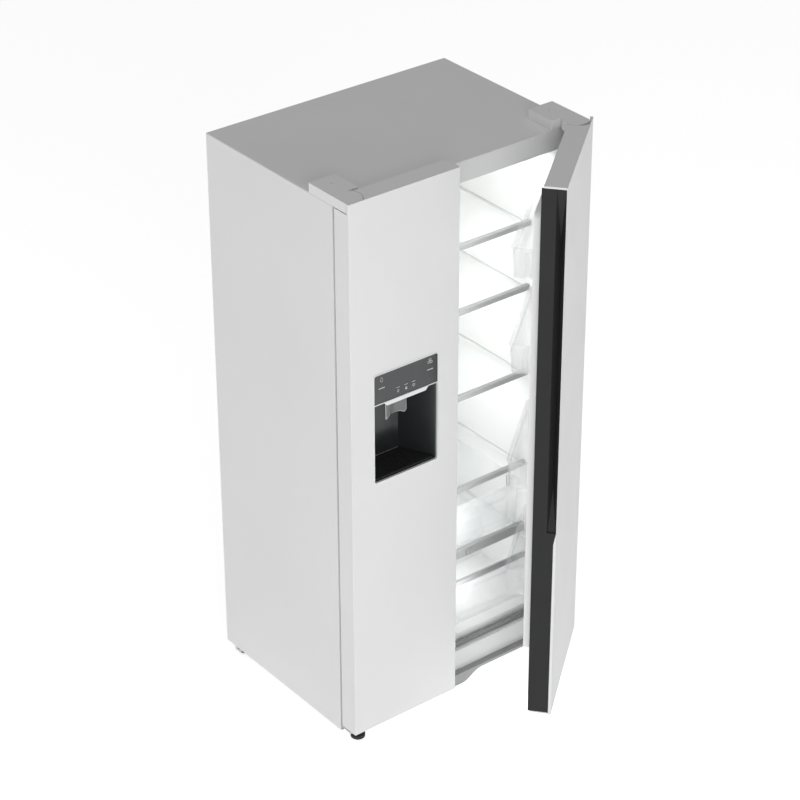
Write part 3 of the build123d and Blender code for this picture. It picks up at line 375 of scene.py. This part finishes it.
# =======================================================================================
# Mesh helpers
# =======================================================================================
def rounded_ring(half_x, half_y, radius, steps=5):
    """Corner-rounded rectangle about the origin, counter-clockwise, as 2-D points."""
    radius = max(0.0002, min(radius, half_x, half_y))
    points = []
    for quarter, (sx, sy) in enumerate(((1, 1), (-1, 1), (-1, -1), (1, -1))):
        for step in range(steps + 1):
            angle = math.radians(90 * (quarter + step / steps))
            points.append(
                (
                    sx * (half_x - radius) + radius * math.cos(angle),
                    sy * (half_y - radius) + radius * math.sin(angle),
                )
            )
    return points


def lofted(name, rings, caps=True, wrap=False, finish=("grey_plastic",), smooth=True):
    """A mesh from rings of equal point counts, joined in turn and capped or wrapped."""
    bm = bmesh.new()
    rows = [[bm.verts.new(point) for point in ring] for ring in rings]
    pairs = list(zip(rows, rows[1:] + ([rows[0]] if wrap else [])))
    for low, high in pairs[: len(rows) if wrap else len(rows) - 1]:
        count = len(low)
        for i in range(count):
            j = (i + 1) % count
            bm.faces.new((low[i], low[j], high[j], high[i]))
    if caps and not wrap:
        bm.faces.new(list(reversed(rows[0])))
        bm.faces.new(rows[-1])
    bmesh.ops.recalc_face_normals(bm, faces=bm.faces)
    return mesh_object(name, bm, finish, smooth)


def mesh_object(name, bm, finish, smooth=True):
    """Turns a bmesh into an object of the scene, with its finishes."""
    mesh = bpy.data.meshes.new(name)
    bm.to_mesh(mesh)
    bm.free()
    obj = bpy.data.objects.new(name, mesh)
    bpy.context.scene.collection.objects.link(obj)
    if smooth:
        for polygon in mesh.polygons:
            polygon.use_smooth = True
        mesh.set_sharp_from_angle(angle=math.radians(38))
    dress(obj, *finish)
    return obj


def joined(name, pieces):
    """One object from several; each keeps its own finishes."""
    with bpy.context.temp_override(
        active_object=pieces[0], selected_editable_objects=pieces, selected_objects=pieces
    ):
        bpy.ops.object.join()
    pieces[0].name = name
    pieces[0].data.name = name
    return pieces[0]


def bar(name, start, end, half_a, half_b, radius, finish, axis="X"):
    """Rounded bar along X, Y or Z with softly domed ends."""
    length = (Vector(end) - Vector(start)).length
    inset = min(radius, 0.0012)
    stations = ((0.0, -inset), (inset, 0.0), (length - inset, 0.0), (length, -inset))
    rings = []
    for along, grow in stations:
        ring = rounded_ring(half_a + grow, half_b + grow, radius)
        if axis == "X":
            rings.append([(start[0] + along, start[1] + a, start[2] + b) for a, b in ring])
        elif axis == "Y":
            rings.append([(start[0] + a, start[1] + along, start[2] + b) for a, b in ring])
        else:
            rings.append([(start[0] + a, start[1] + b, start[2] + along) for a, b in ring])
    return lofted(name, rings, finish=(finish,))


def lathe(name, profile, centre, axis, finish, segments=40):
    """A turned piece from (radius, height) points about an axis vector."""
    turn = Vector((0, 0, 1)).rotation_difference(Vector(axis)).to_matrix()
    rings = []
    for radius, height in profile:
        ring = []
        for i in range(segments):
            a = 2 * math.pi * i / segments
            point = turn @ Vector((radius * math.cos(a), radius * math.sin(a), height))
            ring.append(tuple(Vector(centre) + point))
        rings.append(ring)
    return lofted(name, rings, finish=(finish,))


def vessel(name, low, high, wall, radius, finish="clear_plastic", lip=0.004, taper=0.004):
    """Moulded open box with a rolled rim, tapered walls and a rounded bottom."""
    cx, cy = (low[0] + high[0]) / 2, (low[1] + high[1]) / 2
    hx, hy = (high[0] - low[0]) / 2, (high[1] - low[1]) / 2
    z0, z1 = low[2], high[2]
    foot = 0.005
    steps = (
        (lip + taper + foot, z0),
        (lip + taper + 0.0015, z0 + 0.0012),
        (lip + taper, z0 + foot),
        (lip + taper * 0.5, (z0 + z1) / 2),
        (lip, z1 - 0.007),
        (0.0008, z1 - 0.006),
        (0.0, z1 - 0.0045),
        (0.0, z1 - 0.0012),
        (0.001, z1),
        (lip + wall - 0.001, z1),
        (lip + wall, z1 - 0.0012),
        (lip + wall + taper * 0.5, (z0 + z1) / 2),
        (lip + wall + taper, z0 + wall + foot),
        (lip + wall + taper + 0.0015, z0 + wall + 0.0012),
        (lip + wall + taper + foot, z0 + wall),
    )
    rings = []
    for inset, z in steps:
        ring = rounded_ring(hx - inset, hy - inset, max(0.002, radius - inset * 0.4))
        rings.append([(cx + a, cy + b, z) for a, b in ring])
    return lofted(name, rings, finish=(finish,))


def box_of(points):
    """Low and high corner of the box around some points."""
    low = Vector(min(p[i] for p in points) for i in range(3))
    high = Vector(max(p[i] for p in points) for i in range(3))
    return low, high


def clusters(node, undo=None, gap=0.12):
    """Boxes of a node's separate solids, told apart by the height between them."""
    undo = undo or Matrix.Identity(4)
    points = sorted((undo @ v.co for v in nodes[node].data.vertices), key=lambda p: p.z)
    groups = [[points[0]]]
    for point in points[1:]:
        if point.z - groups[-1][-1].z > gap:
            groups.append([])
        groups[-1].append(point)
    return [box_of(group) for group in groups]


def place(obj, body, matrix=None):
    """Turns a piece with its open door where needed, then lets it ride on its body."""
    if matrix is not None:
        obj.data.transform(matrix)
    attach(obj, body)


# =======================================================================================
# Clear bins, drawers and the ice bucket
# =======================================================================================
def door_bins(node, body, matrix=None):
    """Clear bins of one door, each with two beads along it and a hook at either end."""
    wall, corner = 0.0024, 0.014
    bead_inset, bead_depth, bead_rise, bead_half = 0.016, 0.0046, 0.012, 0.0012
    hook_inset, hook_margin, hook_half = 0.0036, 0.012, (0.0014, 0.006)
    edge = 0.001
    undo = matrix.inverted() if matrix is not None else None
    pieces = []
    for index, (low, high) in enumerate(clusters(node, undo)):
        pieces.append(vessel(f"{node}_shell_{index}", low, high, wall, corner))
        middle = (low.z + high.z) / 2 + bead_rise
        for offset in (-0.006, 0.006):
            start = (low.x + bead_inset, high.y - bead_depth, middle + offset)
            end = (high.x - bead_inset, start[1], start[2])
            bead = bar(f"bead_{index}", start, end, bead_half, bead_half, edge, "clear_plastic")
            pieces.append(bead)
        for side in (low.x + hook_inset, high.x - hook_inset):
            start = (side, (low.y + high.y) / 2, low.z + hook_margin)
            end = (side, start[1], high.z - hook_margin)
            pieces.append(bar(f"hook_{index}", start, end, *hook_half, edge, "clear_plastic", "Z"))
    made = joined(f"{node}_moulded", pieces)
    place(made, body, matrix)
    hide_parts(node)


def drawer(node, rail_tall, rail_finish="rail_grey"):
    """Clear tub with a rail along its top front and two raised lines round its front panel."""
    wall, corner = 0.003, 0.016
    rail_deep, rail_proud, rail_inset, rail_corner = 0.006, 0.002, 0.003, 0.0026
    line_margin, line_tall_share, line_back = 0.05, 0.62, 0.005
    line_wide, line_half, line_corner = 0.002, 0.001, 0.014
    low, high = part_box(node)
    body_low = Vector((low.x, low.y + rail_deep, low.z))
    pieces = [vessel(f"{node}_tub", body_low, high, wall, corner)]

    rail_y = low.y + rail_deep / 2 + rail_proud
    rail_z = high.z - rail_tall / 2
    start = (low.x + rail_inset, rail_y, rail_z)
    end = (high.x - rail_inset, rail_y, rail_z)
    rail_half = rail_deep / 2 + rail_proud
    pieces.append(bar("rail", start, end, rail_half, rail_tall / 2, rail_corner, rail_finish))

    middle_x = (low.x + high.x) / 2
    middle_z = (low.z + high.z - rail_tall) / 2
    half_x = (high.x - low.x) / 2 - line_margin
    half_z = (high.z - rail_tall - low.z) * line_tall_share / 2
    y = body_low.y + line_back
    for inset in (0.0, 0.006):
        outer = rounded_ring(half_x - inset, half_z - inset, line_corner)
        inner = rounded_ring(
            half_x - line_wide - inset, half_z - line_wide - inset, line_corner - line_wide / 2
        )
        rings = []
        for ring, side in ((outer, 1), (outer, -1), (inner, -1), (inner, 1)):
            rings.append([(middle_x + a, y + side * line_half, middle_z + b) for a, b in ring])
        pieces.append(lofted("panel_line", rings, wrap=True, finish=("clear_plastic",)))
    made = joined(f"{node}_moulded", pieces)
    place(made, node)
    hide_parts(node)


def ice_bucket():
    """Clear ice bucket with a grip across its front and a grey frame above the ice chute."""
    wall, corner, taper = 0.003, 0.016, 0.002
    grip_inset, grip_drop, grip_depth = 0.05, 0.05, 0.0035
    frame_depth, frame_foot, frame_top, frame_half = 0.003, 0.004, 0.05, 0.03
    low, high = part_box("ice_bucket")
    chute_low, chute_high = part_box("ice_chute")
    pieces = [vessel("ice_bucket_tub", low, high, wall, corner, taper=taper)]
    start = (low.x + grip_inset, low.y + grip_depth, high.z - grip_drop)
    end = (high.x - grip_inset, start[1], start[2])
    pieces.append(bar("bucket_grip", start, end, 0.003, 0.011, 0.0025, "rail_grey"))
    frame_x = (chute_low.x + chute_high.x) / 2
    start = (frame_x, low.y + frame_depth, low.z + frame_foot)
    end = (frame_x, start[1], low.z + frame_top)
    pieces.append(bar("bucket_spout", start, end, frame_half, 0.0026, 0.002, "rail_grey", "Z"))
    made = joined("ice_bucket_moulded", pieces)
    place(made, "cabinet")
    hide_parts("ice_bucket")


# =======================================================================================
# Door seals with bellows
# =======================================================================================
def gasket(node, body, matrix=None):
    """Bellows seal all round one door, in the box of the plain CAD seal."""
    wide, pinch, round_over, corner = 0.016, 0.0022, 0.0012, 0.012
    undo = matrix.inverted() if matrix is not None else Matrix.Identity(4)
    low, high = box_of([undo @ v.co for v in nodes[node].data.vertices])
    cx, cz = (low.x + high.x) / 2, (low.z + high.z) / 2
    half_x, half_z = (high.x - low.x) / 2, (high.z - low.z) / 2
    profile = (
        (0.0, 0.0),
        (0.0, 0.25),
        (pinch, 0.36),
        (0.0, 0.5),
        (0.0, 0.92),
        (round_over, 1.0),
        (wide - round_over, 1.0),
        (wide, 0.92),
        (wide, 0.5),
        (wide - pinch, 0.36),
        (wide, 0.25),
        (wide, 0.0),
    )
    rings = []
    for inset, share in profile:
        ring = rounded_ring(half_x - inset, half_z - inset, corner - inset * 0.4, steps=8)
        y = low.y + share * (high.y - low.y)
        rings.append([(cx + a, y, cz + b) for a, b in ring])
    made = lofted(f"{node}_bellows", rings, wrap=True, finish=("seal_rubber",))
    place(made, body, matrix)
    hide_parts(node)


# =======================================================================================
# Screws and the plates at the back
# =======================================================================================
panel_head = 0.0042
panel_rise = 0.0006
panel_sink = 0.0002


def screw(name, centre, axis, radius, rise, finish="hinge_steel"):
    """Low round screw head with a cross recess."""
    segments, rows = 48, 9
    recess_reach, recess_half, recess_deep, centre_share = 0.62, 0.13, 0.7, 0.02
    turn = Vector((0, 0, 1)).rotation_difference(Vector(axis)).to_matrix()
    bm = bmesh.new()
    all_rows = []
    for row in range(rows + 1):
        share = 1 - row / rows
        ring = []
        for i in range(segments):
            a = 2 * math.pi * i / segments
            x, y = radius * share * math.cos(a), radius * share * math.sin(a)
            z = rise * math.sqrt(max(0.0, 1 - share**2))
            if share < recess_reach and min(abs(x), abs(y)) < radius * recess_half:
                z -= rise * recess_deep
            if row == rows:
                x, y = radius * centre_share * math.cos(a), radius * centre_share * math.sin(a)
            ring.append(bm.verts.new(tuple(Vector(centre) + turn @ Vector((x, y, z)))))
        all_rows.append(ring)
    for low, high in zip(all_rows, all_rows[1:]):
        for i in range(segments):
            j = (i + 1) % segments
            bm.faces.new((low[i], low[j], high[j], high[i]))
    bm.faces.new(all_rows[-1])
    bm.faces.new(list(reversed(all_rows[0])))
    bmesh.ops.recalc_face_normals(bm, faces=bm.faces)
    return mesh_object(name, bm, (finish,))


def rear_screw(x, face_y, z):
    """Screw head on a panel that faces +Y, at the back of the cabinet."""
    return screw("screw", (x, face_y - panel_sink, z), (0, 1, 0), panel_head, panel_rise)


def rear_screws():
    """Screws down both sides of the back panel and along the machine cover."""
    side_inset, cover_side, cover_edge = 0.012, 0.01, 0.008
    low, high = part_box("back_panel")
    cover_low, cover_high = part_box("machine_cover")
    pieces = []
    for share in (0.02, 0.26, 0.5, 0.74, 0.98):
        z = low.z + side_inset + share * (high.z - low.z - 2 * side_inset)
        for x in (low.x + side_inset, high.x - side_inset):
            pieces.append(rear_screw(x, high.y, z))
    for share in (0.02, 0.34, 0.66, 0.98):
        x = cover_low.x + cover_side + share * (cover_high.x - cover_low.x - 2 * cover_side)
        for z in (cover_low.z + cover_edge, cover_high.z - cover_edge):
            pieces.append(rear_screw(x, cover_high.y, z))
    made = joined("rear_screws", pieces)
    place(made, "cabinet")


def rear_corner_plates():
    """Steel strips that close the side walls beside the machine cover, flush with it."""
    gap, lap, edge = 0.0004, 0.0015, 0.0005
    low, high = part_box("machine_cover")
    panel_low, panel_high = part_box("back_panel")
    middle_y = (low.y + high.y) / 2
    half_sheet = (high.y - low.y) / 2
    pieces = []
    for inner, outer in ((panel_low.x + gap, low.x - gap), (high.x + gap, panel_high.x - gap)):
        x = (inner + outer) / 2
        half_x = (outer - inner) / 2
        start = (x, middle_y, low.z + lap)
        end = (x, middle_y, high.z - lap)
        pieces.append(bar("plate", start, end, half_x, half_sheet, edge, "galvanised", "Z"))
        for share in (0.12, 0.5, 0.88):
            pieces.append(rear_screw(x, high.y, low.z + share * (high.z - low.z)))
    made = joined("rear_corner_plates", pieces)
    place(made, "cabinet")


def cover_screws():
    """One low screw on top of each hinge cover."""
    side_inset, behind_front, sink, head, rise = 0.047, 0.135, 0.0001, 0.0048, 0.0005
    low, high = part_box("hinge_covers")
    pieces = []
    for x in (low.x + side_inset, high.x - side_inset):
        centre = (x, front_y + behind_front, high.z - sink)
        pieces.append(screw("screw", centre, (0, 0, 1), head, rise, "bezel_metal"))
    made = joined("hinge_cover_screws", pieces)
    place(made, "cabinet")


# =======================================================================================
# Inside the compartments
# =======================================================================================
def shelf_rails():
    """Moulded ledges on both side walls under every shelf."""
    half_wide, half_tall, corner, end_gap, clearance = 0.0042, 0.005, 0.003, 0.006, 0.0003
    for node, name in (("glass_shelves", "fridge_ledges"), ("freezer_shelves", "freezer_ledges")):
        low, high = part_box(node)
        pieces = []
        for shelf_low, _ in clusters(node, gap=shelf_gap):
            z = shelf_low.z - half_tall - clearance
            for wall_x, inward in ((low.x, 1), (high.x, -1)):
                x = wall_x + inward * half_wide
                start, end = (x, low.y + end_gap, z), (x, high.y - end_gap, z)
                ledge = bar("ledge", start, end, half_wide, half_tall, corner, "liner_plastic", "Y")
                pieces.append(ledge)
        made = joined(name, pieces)
        place(made, "cabinet")


def wall_vents():
    """Three short air slots in the right wall above the crisper, drawn as dark grey bars whose colour is painted
    shade for the inside of each slot.
    """
    count, first_depth, spacing = 3, 0.262, 0.012
    below_top, length = 0.022, 0.04
    wall_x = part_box("glass_shelves")[1].x + 0.0005
    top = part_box("crisper_drawer_upper")[1].z - below_top
    pieces = []
    for index in range(count):
        y = front_y + first_depth + index * spacing
        start, end = (wall_x, y, top - length), (wall_x, y, top)
        pieces.append(bar("slot", start, end, 0.0012, 0.0026, 0.001, "rail_grey", "Z"))
    made = joined("wall_vents", pieces)
    place(made, "cabinet")


def channel_shade_strips():
    """Dark grey strip in the shallow channel across the foot of each opening, lower at its right end; its dark
    colour is painted shade standing in for the shadow in the channel.
    """
    foot, tall, behind_lip, side_gap = 0.004, 0.021, 0.016, 0.0035
    front, back, lean, round_over = 0.0035, 0.003, 0.0005, 0.003
    low_run, low_drop = 0.03, 0.011
    pieces = []
    for node in ("fridge_liner", "freezer_liner"):
        low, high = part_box(node)
        z0, z1 = low.z + foot, low.z + tall
        y = low.y + behind_lip
        left, right = low.x + side_gap, high.x - side_gap
        length = right - left
        stations = ((0.0, 0.006), (0.004, 0.001), (0.012, 0.0), (length - low_run, 0.0), (length, low_drop))
        rings = []
        for along, drop in stations:
            x = left + along
            rings.append(
                [
                    (x, y - front, z0 + 0.002),
                    (x, y - front, z1 - round_over - drop),
                    (x, y - lean, z1 - drop),
                    (x, y + back, z1 - drop),
                    (x, y + back, z0),
                ]
            )
        pieces.append(lofted(f"{node}_strip", rings, finish=("rail_grey",), smooth=False))
    made = joined("channel_shade_strips", pieces)
    place(made, "cabinet")


# =======================================================================================
# Dispenser details
# =======================================================================================
def plate_of(points, y, thick, finish):
    """Flat plate from outline points in the X-Z plane, standing proud towards -Y."""
    rings = [[(x, y, z) for x, z in points], [(x, y - thick, z) for x, z in points]]
    return lofted("plate", rings, finish=(finish,), smooth=False)


def ring_plate(outer, inner, y, thick, finish):
    """Flat plate between two outlines in the X-Z plane, standing proud towards -Y."""
    rings = [
        [(x, y, z) for x, z in outer],
        [(x, y - thick, z) for x, z in outer],
        [(x, y - thick, z) for x, z in inner],
        [(x, y, z) for x, z in inner],
    ]
    return lofted("ring", rings, wrap=True, finish=(finish,), smooth=False)


def circle(cx, cz, radius, count=28):
    """Outline points of a circle."""
    angles = [2 * math.pi * i / count for i in range(count)]
    return [(cx + radius * math.cos(a), cz + radius * math.sin(a)) for a in angles]


def droplet(cx, cz, size, count=28):
    """Outline points of a water drop, a circle drawn out into a point at its top."""
    points = []
    for i in range(count):
        a = 2 * math.pi * i / count + math.pi / 2
        pinch = 0.5 * (1 + math.sin(a))
        x = cx + size * math.cos(a) * (1 - 0.75 * pinch)
        points.append((x, cz + size * (math.sin(a) + 0.45 * pinch)))
    return points


def tilted_square(cx, cz, half, angle):
    """Outline points of a square turned by an angle in degrees."""
    turn = math.radians(angle)
    corners = ((-half, -half), (half, -half), (half, half), (-half, half))
    return [
        (cx + a * math.cos(turn) - b * math.sin(turn), cz + a * math.sin(turn) + b * math.cos(turn))
        for a, b in corners
    ]


def rectangle(cx, half_wide, low_z, high_z):
    """Outline points of an upright rectangle."""
    left, right = cx - half_wide, cx + half_wide
    return [(left, low_z), (right, low_z), (right, high_z), (left, high_z)]


def panel_icons():
    """Generic printed symbols of the touch panel: water, ice, lamp, lock and filter."""
    thick, line = 0.00018, 0.0011
    drop_size, cube_half, dash_half = 0.0062, 0.0036, (0.0105, 0.0012)
    low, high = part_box("dispenser_panel")
    top_z = high.z - 0.018
    label_z = top_z - 0.026
    water_x, ice_x = low.x + 0.026, high.x - 0.027
    row_z = low.z + 0.019
    middle = (low.x + high.x) / 2
    lamp_x, lock_x, filter_x = middle - 0.028, middle, middle + 0.027
    lamp_z, lock_z = row_z + 0.0012, row_z + 0.002
    solids = []
    hollows = [
        (droplet(water_x, top_z, drop_size), droplet(water_x, top_z, drop_size - line)),
        (circle(lamp_x, lamp_z, 0.0036), circle(lamp_x, lamp_z, 0.0026)),
        (circle(lock_x, lock_z, 0.0026), circle(lock_x, lock_z, 0.0017)),
        (tilted_square(filter_x, row_z, 0.0038, 45), tilted_square(filter_x, row_z, 0.0026, 45)),
    ]
    for dx, dz, angle in ((-0.0045, -0.002, 12), (0.0045, -0.003, -14), (0.0, 0.0055, 30)):
        outer = tilted_square(ice_x + dx, top_z + dz, cube_half, angle)
        inner = tilted_square(ice_x + dx, top_z + dz, cube_half - line, angle)
        hollows.append((outer, inner))
    for x in (water_x, ice_x):
        solids.append(rectangle(x, dash_half[0], label_z - dash_half[1], label_z + dash_half[1]))
    solids.append(rectangle(lamp_x, 0.0016, row_z - 0.0046, row_z - 0.003))
    solids.append(rectangle(lock_x, 0.0034, row_z - 0.0044, row_z + 0.0006))
    for x in (lamp_x, lock_x, filter_x):
        solids.append(rectangle(x, 0.006, row_z + 0.0108, row_z + 0.0122))
    pieces = [ring_plate(outer, inner, low.y, thick, "icon_print") for outer, inner in hollows]
    pieces += [plate_of(outline, low.y, thick, "icon_print") for outline in solids]
    made = joined("panel_icons", pieces)
    place(made, "freezer_door")


def tube(name, path, radius, finish, segments=8):
    """Thin round bead that follows a path lying in an upright plane."""
    rings = []
    for index, point in enumerate(path):
        ahead = Vector(path[min(index + 1, len(path) - 1)]) - Vector(path[max(index - 1, 0)])
        ahead.normalize()
        across = ahead.cross(Vector((0, 1, 0))).normalized()
        ring = []
        for i in range(segments):
            a = 2 * math.pi * i / segments
            offset = across * math.cos(a) + Vector((0, 1, 0)) * math.sin(a)
            ring.append(tuple(Vector(point) + offset * radius))
        rings.append(ring)
    return lofted(name, rings, finish=(finish,))


def paddle():
    """Scooped paddle with a waved lower edge, a raised bead around it whose pale finish is a painted highlight,
    and its pivot bar.
    """
    columns, rows, scoop, half_sheet = 28, 12, 0.0018, 0.001
    pin, top_gap, bead_radius = 0.004, 0.003, 0.0011
    rod_half, rod_corner = 0.0024, 0.0023
    wave = ((0.0, 0.0), (0.28, 0.0125), (0.69, 0.0098), (0.93, 0.003), (1.0, 0.009))
    low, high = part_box("dispenser_paddle")
    left, right = low.x + pin, high.x - pin
    middle_y = (low.y + high.y) / 2
    top = high.z - top_gap

    def edge_z(u):
        for (u0, z0), (u1, z1) in zip(wave, wave[1:]):
            if u <= u1:
                ease = 0.5 - 0.5 * math.cos(math.pi * (u - u0) / (u1 - u0))
                return low.z + z0 + (z1 - z0) * ease
        return low.z + wave[-1][1]

    def point(u, share, side):
        y = middle_y - scoop * math.cos(2 * math.pi * u) * share + side * half_sheet
        return (left + u * (right - left), y, top + (edge_z(u) - top) * share)

    rings = []
    for row in range(rows + 1):
        share = row / rows
        near = [point(i / columns, share, -1) for i in range(columns + 1)]
        far = [point(i / columns, share, 1) for i in range(columns, -1, -1)]
        rings.append(near + far)
    sheet = lofted("paddle_sheet", rings, finish=("paddle_plastic",))
    rim = [point(0.0, row / rows, 0) for row in range(2, rows)]
    rim += [point(i / columns, 1.0, 0) for i in range(columns + 1)]
    rim += [point(1.0, row / rows, 0) for row in range(rows - 1, 1, -1)]
    # The bead's pale finish paints the bright rim highlight.
    bead = tube("paddle_highlight_bead", rim, bead_radius, "bezel_metal")
    start, end = (low.x, middle_y, top), (high.x, middle_y, top)
    rod = bar("paddle_rod", start, end, rod_half, rod_half, rod_corner, "paddle_plastic")
    made = joined("paddle_moulded", [sheet, bead, rod])
    place(made, "dispenser_paddle")
    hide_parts("dispenser_paddle")


def cavity_highlight_bead():
    """Fine pale bead where the dispenser's back wall meets its floor; its pale colour is a painted highlight line.
    """
    half_long, half, corner = 0.0555, 0.0007, 0.0006
    low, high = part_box("drip_grille")
    middle = (low.x + high.x) / 2
    y = high.y + 0.0028
    z = high.z + 0.0016
    start, end = (middle - half_long, y, z), (middle + half_long, y, z)
    made = bar("cavity_highlight_bead", start, end, half, half, corner, "rail_grey")
    place(made, "freezer_door")


def nozzle():
    """Water spout and lamp lens under the dispenser's ceiling."""
    apart, before_paddle, ceiling_sheet, sink = 0.052, 0.014, 0.0025, 0.0002
    spout_profile = (
        (0.0095, 0.0),
        (0.0095, -0.006),
        (0.0075, -0.009),
        (0.0062, -0.022),
        (0.0055, -0.024),
        (0.0042, -0.024),
        (0.0042, -0.006),
        (0.0005, -0.006),
    )
    lens_profile = ((0.007, 0.0), (0.007, -0.002), (0.005, -0.0034), (0.0005, -0.004))
    low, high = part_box("dispenser_paddle")
    x = (low.x + high.x) / 2
    y = low.y - before_paddle
    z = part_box("dispenser_housing")[1].z - ceiling_sheet + sink
    spout = lathe("spout", spout_profile, (x - apart, y, z), (0, 0, 1), "paddle_plastic")
    lens = lathe("lens", lens_profile, (x + apart, y, z), (0, 0, 1), "lamp_cover")
    made = joined("dispenser_spout", [spout, lens])
    place(made, "freezer_door")


# =======================================================================================
# Build the pieces
# =======================================================================================
door_bins("freezer_door_bins", "freezer_door")
door_bins("fridge_door_bins", "fridge_door", opened)
for name in ("freezer_drawer_upper", "freezer_drawer_lower", "crisper_drawer_upper"):
    drawer(name, 0.014, "clear_plastic")
drawer("crisper_drawer_lower", 0.018)
ice_bucket()
gasket("freezer_door_gasket", "freezer_door")
gasket("fridge_door_gasket", "fridge_door", opened)
rear_screws()
rear_corner_plates()
cover_screws()
shelf_rails()
wall_vents()
channel_shade_strips()
panel_icons()
paddle()
cavity_highlight_bead()
nozzle()


# =======================================================================================
# Studio: floor, light and camera
# =======================================================================================
def studio_floor():
    """Wide round white floor, lit a little from itself so that its shadows stay soft."""
    s = Shader("studio_floor")
    grain = s.remap(s.noise(30.0, 5.0), "Fac", 0, 1, 0.4, 0.6)
    colour = s.mix(grain, "Result", (0.86, 0.86, 0.86), (0.88, 0.88, 0.88))
    s.tree.links.new(colour_output(colour), s.bsdf.inputs["Base Color"])
    s.set(Roughness=0.9, Emission_Color=(1, 1, 1, 1), Emission_Strength=0.68)
    finishes["studio_floor"] = s
    rings = []
    for reach in (0.001, 0.5, 3.0, 9.0, 30.0):
        rings.append([(x, y, 0.0) for x, y in rounded_ring(reach, reach, reach * 0.9, 12)])
    floor = lofted("studio_floor", rings, caps=False, finish=("studio_floor",))


def area_light(name, position, target, size, power):
    """White rectangular lamp at a position, aimed at a target."""
    data = bpy.data.lights.new(name, "AREA")
    data.shape = "RECTANGLE"
    data.size, data.size_y = size
    data.energy = power
    light = bpy.data.objects.new(name, data)
    light.location = position
    aim = Vector(target) - Vector(position)
    light.rotation_euler = aim.to_track_quat("-Z", "Y").to_euler()
    bpy.context.scene.collection.objects.link(light)


def studio_world(left, right):
    """Even surroundings, a little dimmer towards the right; the backdrop itself is white."""
    world = bpy.data.worlds.new("studio")
    world.use_nodes = True
    tree = world.node_tree
    background = tree.nodes["Background"]
    background.inputs["Color"].default_value = (1.0, 1.0, 1.0, 1.0)
    coords = tree.nodes.new("ShaderNodeTexCoord")
    split = tree.nodes.new("ShaderNodeSeparateXYZ")
    ramp = tree.nodes.new("ShaderNodeMapRange")
    ramp.inputs["From Min"].default_value = -0.6
    ramp.inputs["From Max"].default_value = 0.8
    ramp.inputs["To Min"].default_value = left
    ramp.inputs["To Max"].default_value = right
    tree.links.new(coords.outputs["Generated"], split.inputs["Vector"])
    tree.links.new(split.outputs["X"], ramp.inputs["Value"])
    path = tree.nodes.new("ShaderNodeLightPath")
    seen = tree.nodes.new("ShaderNodeMix")
    tree.links.new(path.outputs["Is Camera Ray"], seen.inputs["Factor"])
    tree.links.new(ramp.outputs["Result"], seen.inputs["A"])
    seen.inputs["B"].default_value = 1.0
    tree.links.new(seen.outputs["Result"], background.inputs["Strength"])
    bpy.context.scene.world = world


def bay_lights(node, shelves, power):
    """A soft lamp below each shelf of a compartment, facing down into the bay."""
    behind_front, below_shelf, tilt, size = 0.33, 0.012, 0.02, (0.26, 0.2)
    low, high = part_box(node)
    x, y = (low.x + high.x) / 2, front_y + behind_front
    for index, (shelf_low, _) in enumerate(clusters(shelves, gap=shelf_gap)):
        position = (x, y, shelf_low.z - below_shelf)
        area_light(f"{node}_bay_{index}", position, (x, y + tilt, 0.0), size, power)


def fridge_lights():
    """The ceiling glow of the fridge compartment and a weak upright fill just inside it."""
    low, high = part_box("fridge_liner")
    x = (low.x + high.x) / 2
    glow = (x, front_y + 0.16, high.z - 0.03)
    area_light("fridge_glow", glow, (x, front_y + 0.34, 0.2), (0.3, 0.08), 0.75)
    fill = (x - 0.12, front_y + 0.09, 0.9)
    area_light("fridge_fill", fill, (x, front_y + 0.5, 0.9), (0.1, 1.3), 1.3)


def studio_camera():
    """Camera at the photograph's viewing angle."""
    data = bpy.data.cameras.new("camera")
    data.lens = lens_mm
    data.sensor_width = sensor_mm
    data.clip_end = 100.0
    camera = bpy.data.objects.new("camera", data)
    forward = Vector(
        (
            -math.sin(camera_azimuth) * math.cos(camera_elevation),
            math.cos(camera_azimuth) * math.cos(camera_elevation),
            -math.sin(camera_elevation),
        )
    )
    right = forward.cross(Vector((0, 0, 1))).normalized()
    up = right.cross(forward)
    side = math.cos(camera_roll) * right + math.sin(camera_roll) * up
    lift = -math.sin(camera_roll) * right + math.cos(camera_roll) * up
    turn = Matrix((side, lift, -forward)).transposed().to_4x4()
    camera.matrix_world = Matrix.Translation((camera_x, front_y + camera_behind, camera_z)) @ turn
    bpy.context.scene.collection.objects.link(camera)
    bpy.context.scene.camera = camera


studio_floor()
studio_world(0.37, 0.22)
area_light("key", (-3.0, -5.6, 2.7), (0.0, 0.0, 0.9), (3.0, 3.0), 120.0)
area_light("overhead", (0.3, 0.7, 5.2), (0.0, 0.2, 1.0), (2.4, 2.4), 17.0)
fridge_lights()
bay_lights("fridge_liner", "glass_shelves", 0.30)
bay_lights("freezer_liner", "freezer_shelves", 0.2)
studio_camera()
bpy.context.scene.view_settings.view_transform = "Standard"
bpy.context.scene.cycles.transparent_max_bounces = 32
